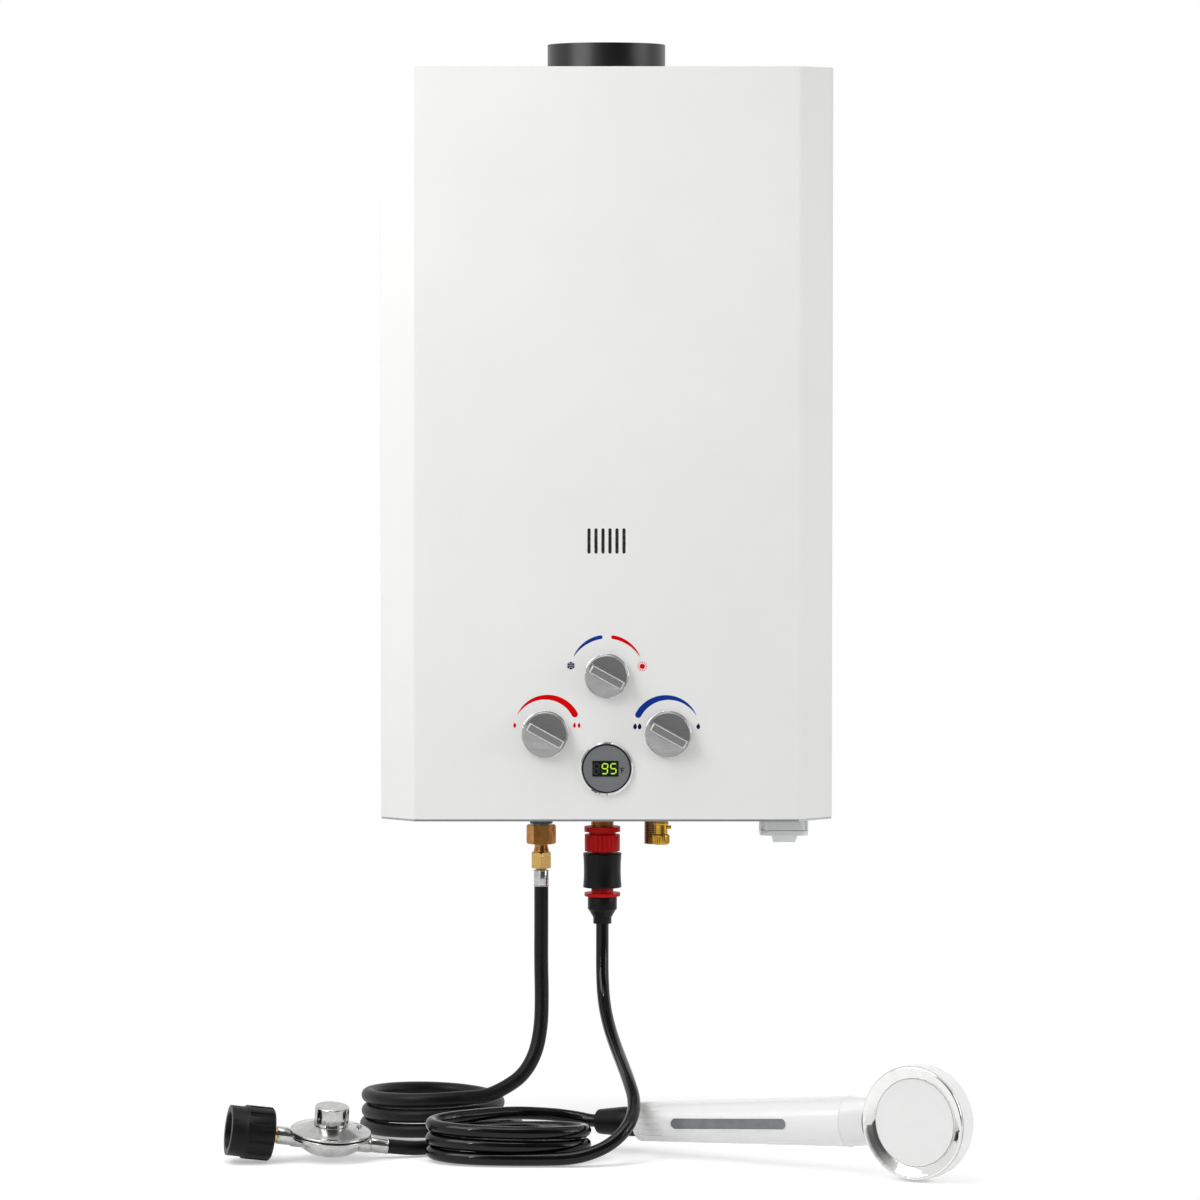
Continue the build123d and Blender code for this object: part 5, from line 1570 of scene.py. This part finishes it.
@dataclass(frozen=True)
class Studio:
    """Floor, light and camera."""

    camera: Triple = (-6.0, -5344.0, -165.2)
    tilt: float = 2.95
    lens: float = 168.0
    sensor: float = 36.0
    view_depth: float = 60000.0
    daylight: float = 0.41
    dark_end: Triple = (0.34, -0.84, 0.42)
    dark_span: Pair = (0.45, 0.92)
    dark_level: float = 0.1
    floor_drop: float = 0.4
    floor_middle: Pair = (-20.0, -300.0)
    floor_radius: float = 1300.0
    floor_colour: str = "#F2F2F2"
    floor_lift: float = 0.35
    shadow_reach: Pair = (300.0, 480.0)
    lamps: tuple[Lamp, ...] = (
        Lamp("key_light", (-1050, -1000, 450), (0, -150, -300), 1000, 12.5),
        Lamp("fill_light", (1900, -800, 0), (0, -150, -350), 1200, 9.5),
        Lamp("top_light", (-250, -700, 1700), (0, -150, -600), 1400, 11.0),
        Lamp("strip_light", (-700, -1150, -250), (0, -200, -600), 16, 0.7, 420),
        Lamp("edge_light", (1150, -650, -500), (0, -200, -750), 16, 0.6, 420),
        Lamp("coil_light", (-150, -1000, 1900), (-100, -278, -920), 1100, 2.4, 26),
    )

    def build(self) -> None:
        """Set up the scene round the heater."""
        self.look()
        self.sky()
        self.ground()
        for lamp in self.lamps:
            lamp.hang()

    def look(self) -> None:
        """Place the camera where the photograph was taken from."""
        scene = bpy.context.scene
        scene.view_settings.view_transform = "Standard"
        data = bpy.data.cameras.new("camera")
        data.lens = self.lens
        data.sensor_width = self.sensor
        data.clip_end = self.view_depth * MM
        eye = bpy.data.objects.new("camera", data)
        eye.location = Vector(self.camera) * MM
        eye.rotation_euler = (math.radians(90 - self.tilt), 0.0, 0.0)
        scene.collection.objects.link(eye)
        scene.camera = eye

    def seen(self, tree: bpy.types.NodeTree) -> bpy.types.NodeSocket:
        """One for rays that see the background, straight or by gloss or glass, zero for light.

        Args:
            tree: node tree that asks.

        Returns:
            The socket that gives it.
        """
        path = add_node(tree, "ShaderNodeLightPath").outputs
        first = add_node(tree, "ShaderNodeMath", {"operation": "MAXIMUM"}, {
            0: path["Is Camera Ray"],
            1: path["Is Glossy Ray"],
        })
        return add_node(tree, "ShaderNodeMath", {"operation": "MAXIMUM"}, {
            0: first.outputs[0],
            1: path["Is Transmission Ray"],
        }).outputs[0]

    def sky(self) -> None:
        """White background at a plain level of light, with the room's unlit end in the gloss."""
        world = bpy.data.worlds.new("white_room")
        world.use_nodes = True
        tree = world.node_tree
        tree.nodes.clear()
        path = add_node(tree, "ShaderNodeLightPath").outputs
        way = add_node(tree, "ShaderNodeTexCoord").outputs["Generated"]
        facing = add_node(tree, "ShaderNodeVectorMath", {"operation": "DOT_PRODUCT"}, {
            0: way,
            1: tuple(Vector(self.dark_end).normalized()),
        })
        dim = add_node(tree, "ShaderNodeMapRange", {"interpolation_type": "SMOOTHSTEP"}, {
            "Value": facing.outputs["Value"],
            "From Min": self.dark_span[0],
            "From Max": self.dark_span[1],
            "To Min": 1.0,
            "To Max": self.dark_level,
        })
        mirrored = add_node(tree, "ShaderNodeMix", None, {
            "Factor": path["Is Glossy Ray"],
            "A": 1.0,
            "B": dim.outputs["Result"],
        })
        white = (1.0, 1.0, 1.0, 1.0)
        light, backdrop = (
            add_node(tree, "ShaderNodeBackground", None, {"Color": white, "Strength": strength})
            for strength in (self.daylight, mirrored.outputs["Result"])
        )
        both = add_node(tree, "ShaderNodeMixShader", None, {
            0: self.seen(tree),
            1: light.outputs[0],
            2: backdrop.outputs[0],
        })
        add_node(tree, "ShaderNodeOutputWorld", None, {"Surface": both.outputs[0]})
        bpy.context.scene.world = world

    def floor_material(self) -> bpy.types.Material:
        """Matt white that keeps the shadows near the heater and fades to the white of the room.

        Returns:
            The new material.
        """
        material = bpy.data.materials.new("matt_white_floor")
        material.use_nodes = True
        tree = material.node_tree
        tree.nodes.clear()
        seen = self.seen(tree)
        matt = add_node(tree, "ShaderNodeBsdfDiffuse", None, {"Color": linear(self.floor_colour)})
        lift = add_node(tree, "ShaderNodeMath", {"operation": "MULTIPLY"}, {
            0: seen,
            1: self.floor_lift,
        })
        glow = add_node(tree, "ShaderNodeEmission", None, {"Strength": lift.outputs[0]})
        near = add_node(tree, "ShaderNodeAddShader", None, {0: matt.outputs[0], 1: glow.outputs[0]})
        spot = add_node(tree, "ShaderNodeTexCoord").outputs["Object"]
        hub = Vector((*self.floor_middle, FLOOR - self.floor_drop)) * MM
        away = add_node(tree, "ShaderNodeVectorMath", {"operation": "DISTANCE"}, {
            0: spot,
            1: tuple(hub),
        })
        share = add_node(tree, "ShaderNodeMapRange", {"interpolation_type": "SMOOTHSTEP"}, {
            "Value": away.outputs["Value"],
            "From Min": self.shadow_reach[0] * MM,
            "From Max": self.shadow_reach[1] * MM,
        })
        fade = add_node(tree, "ShaderNodeMath", {"operation": "MULTIPLY"}, {
            0: share.outputs["Result"],
            1: seen,
        })
        white = add_node(tree, "ShaderNodeEmission", None, {"Strength": 1.0})
        both = add_node(tree, "ShaderNodeMixShader", None, {
            0: fade.outputs[0],
            1: near.outputs[0],
            2: white.outputs[0],
        })
        add_node(tree, "ShaderNodeOutputMaterial", None, {"Surface": both.outputs[0]})
        return material

    def ground(self) -> None:
        """Pale round floor just under the hoses."""
        mesh = bpy.data.meshes.new("floor")
        stand = Matrix.Translation((*self.floor_middle, 0.0))
        rim = ring(self.floor_radius, FLOOR - self.floor_drop, Sides.PLATE, stand)
        mesh.from_pydata([tuple(p * MM) for p in rim], [], [tuple(range(len(rim)))])
        mesh.materials.append(self.floor_material())
        floor = bpy.data.objects.new("floor", mesh)
        bpy.context.scene.collection.objects.link(floor)


def main() -> None:
    """Build the sub-assemblies in order."""
    logging.basicConfig(level=logging.INFO, format="%(name)s: %(message)s")
    parts = (
        Studio(), GasLine(), HandShower(), Case(), Panel(), HotOutlet(), ColdSide(), BatteryBay(),
    )
    for part in parts:
        LOG.info("building %s", type(part).__name__)
        part.build()


if __name__ == "__main__":
    main()
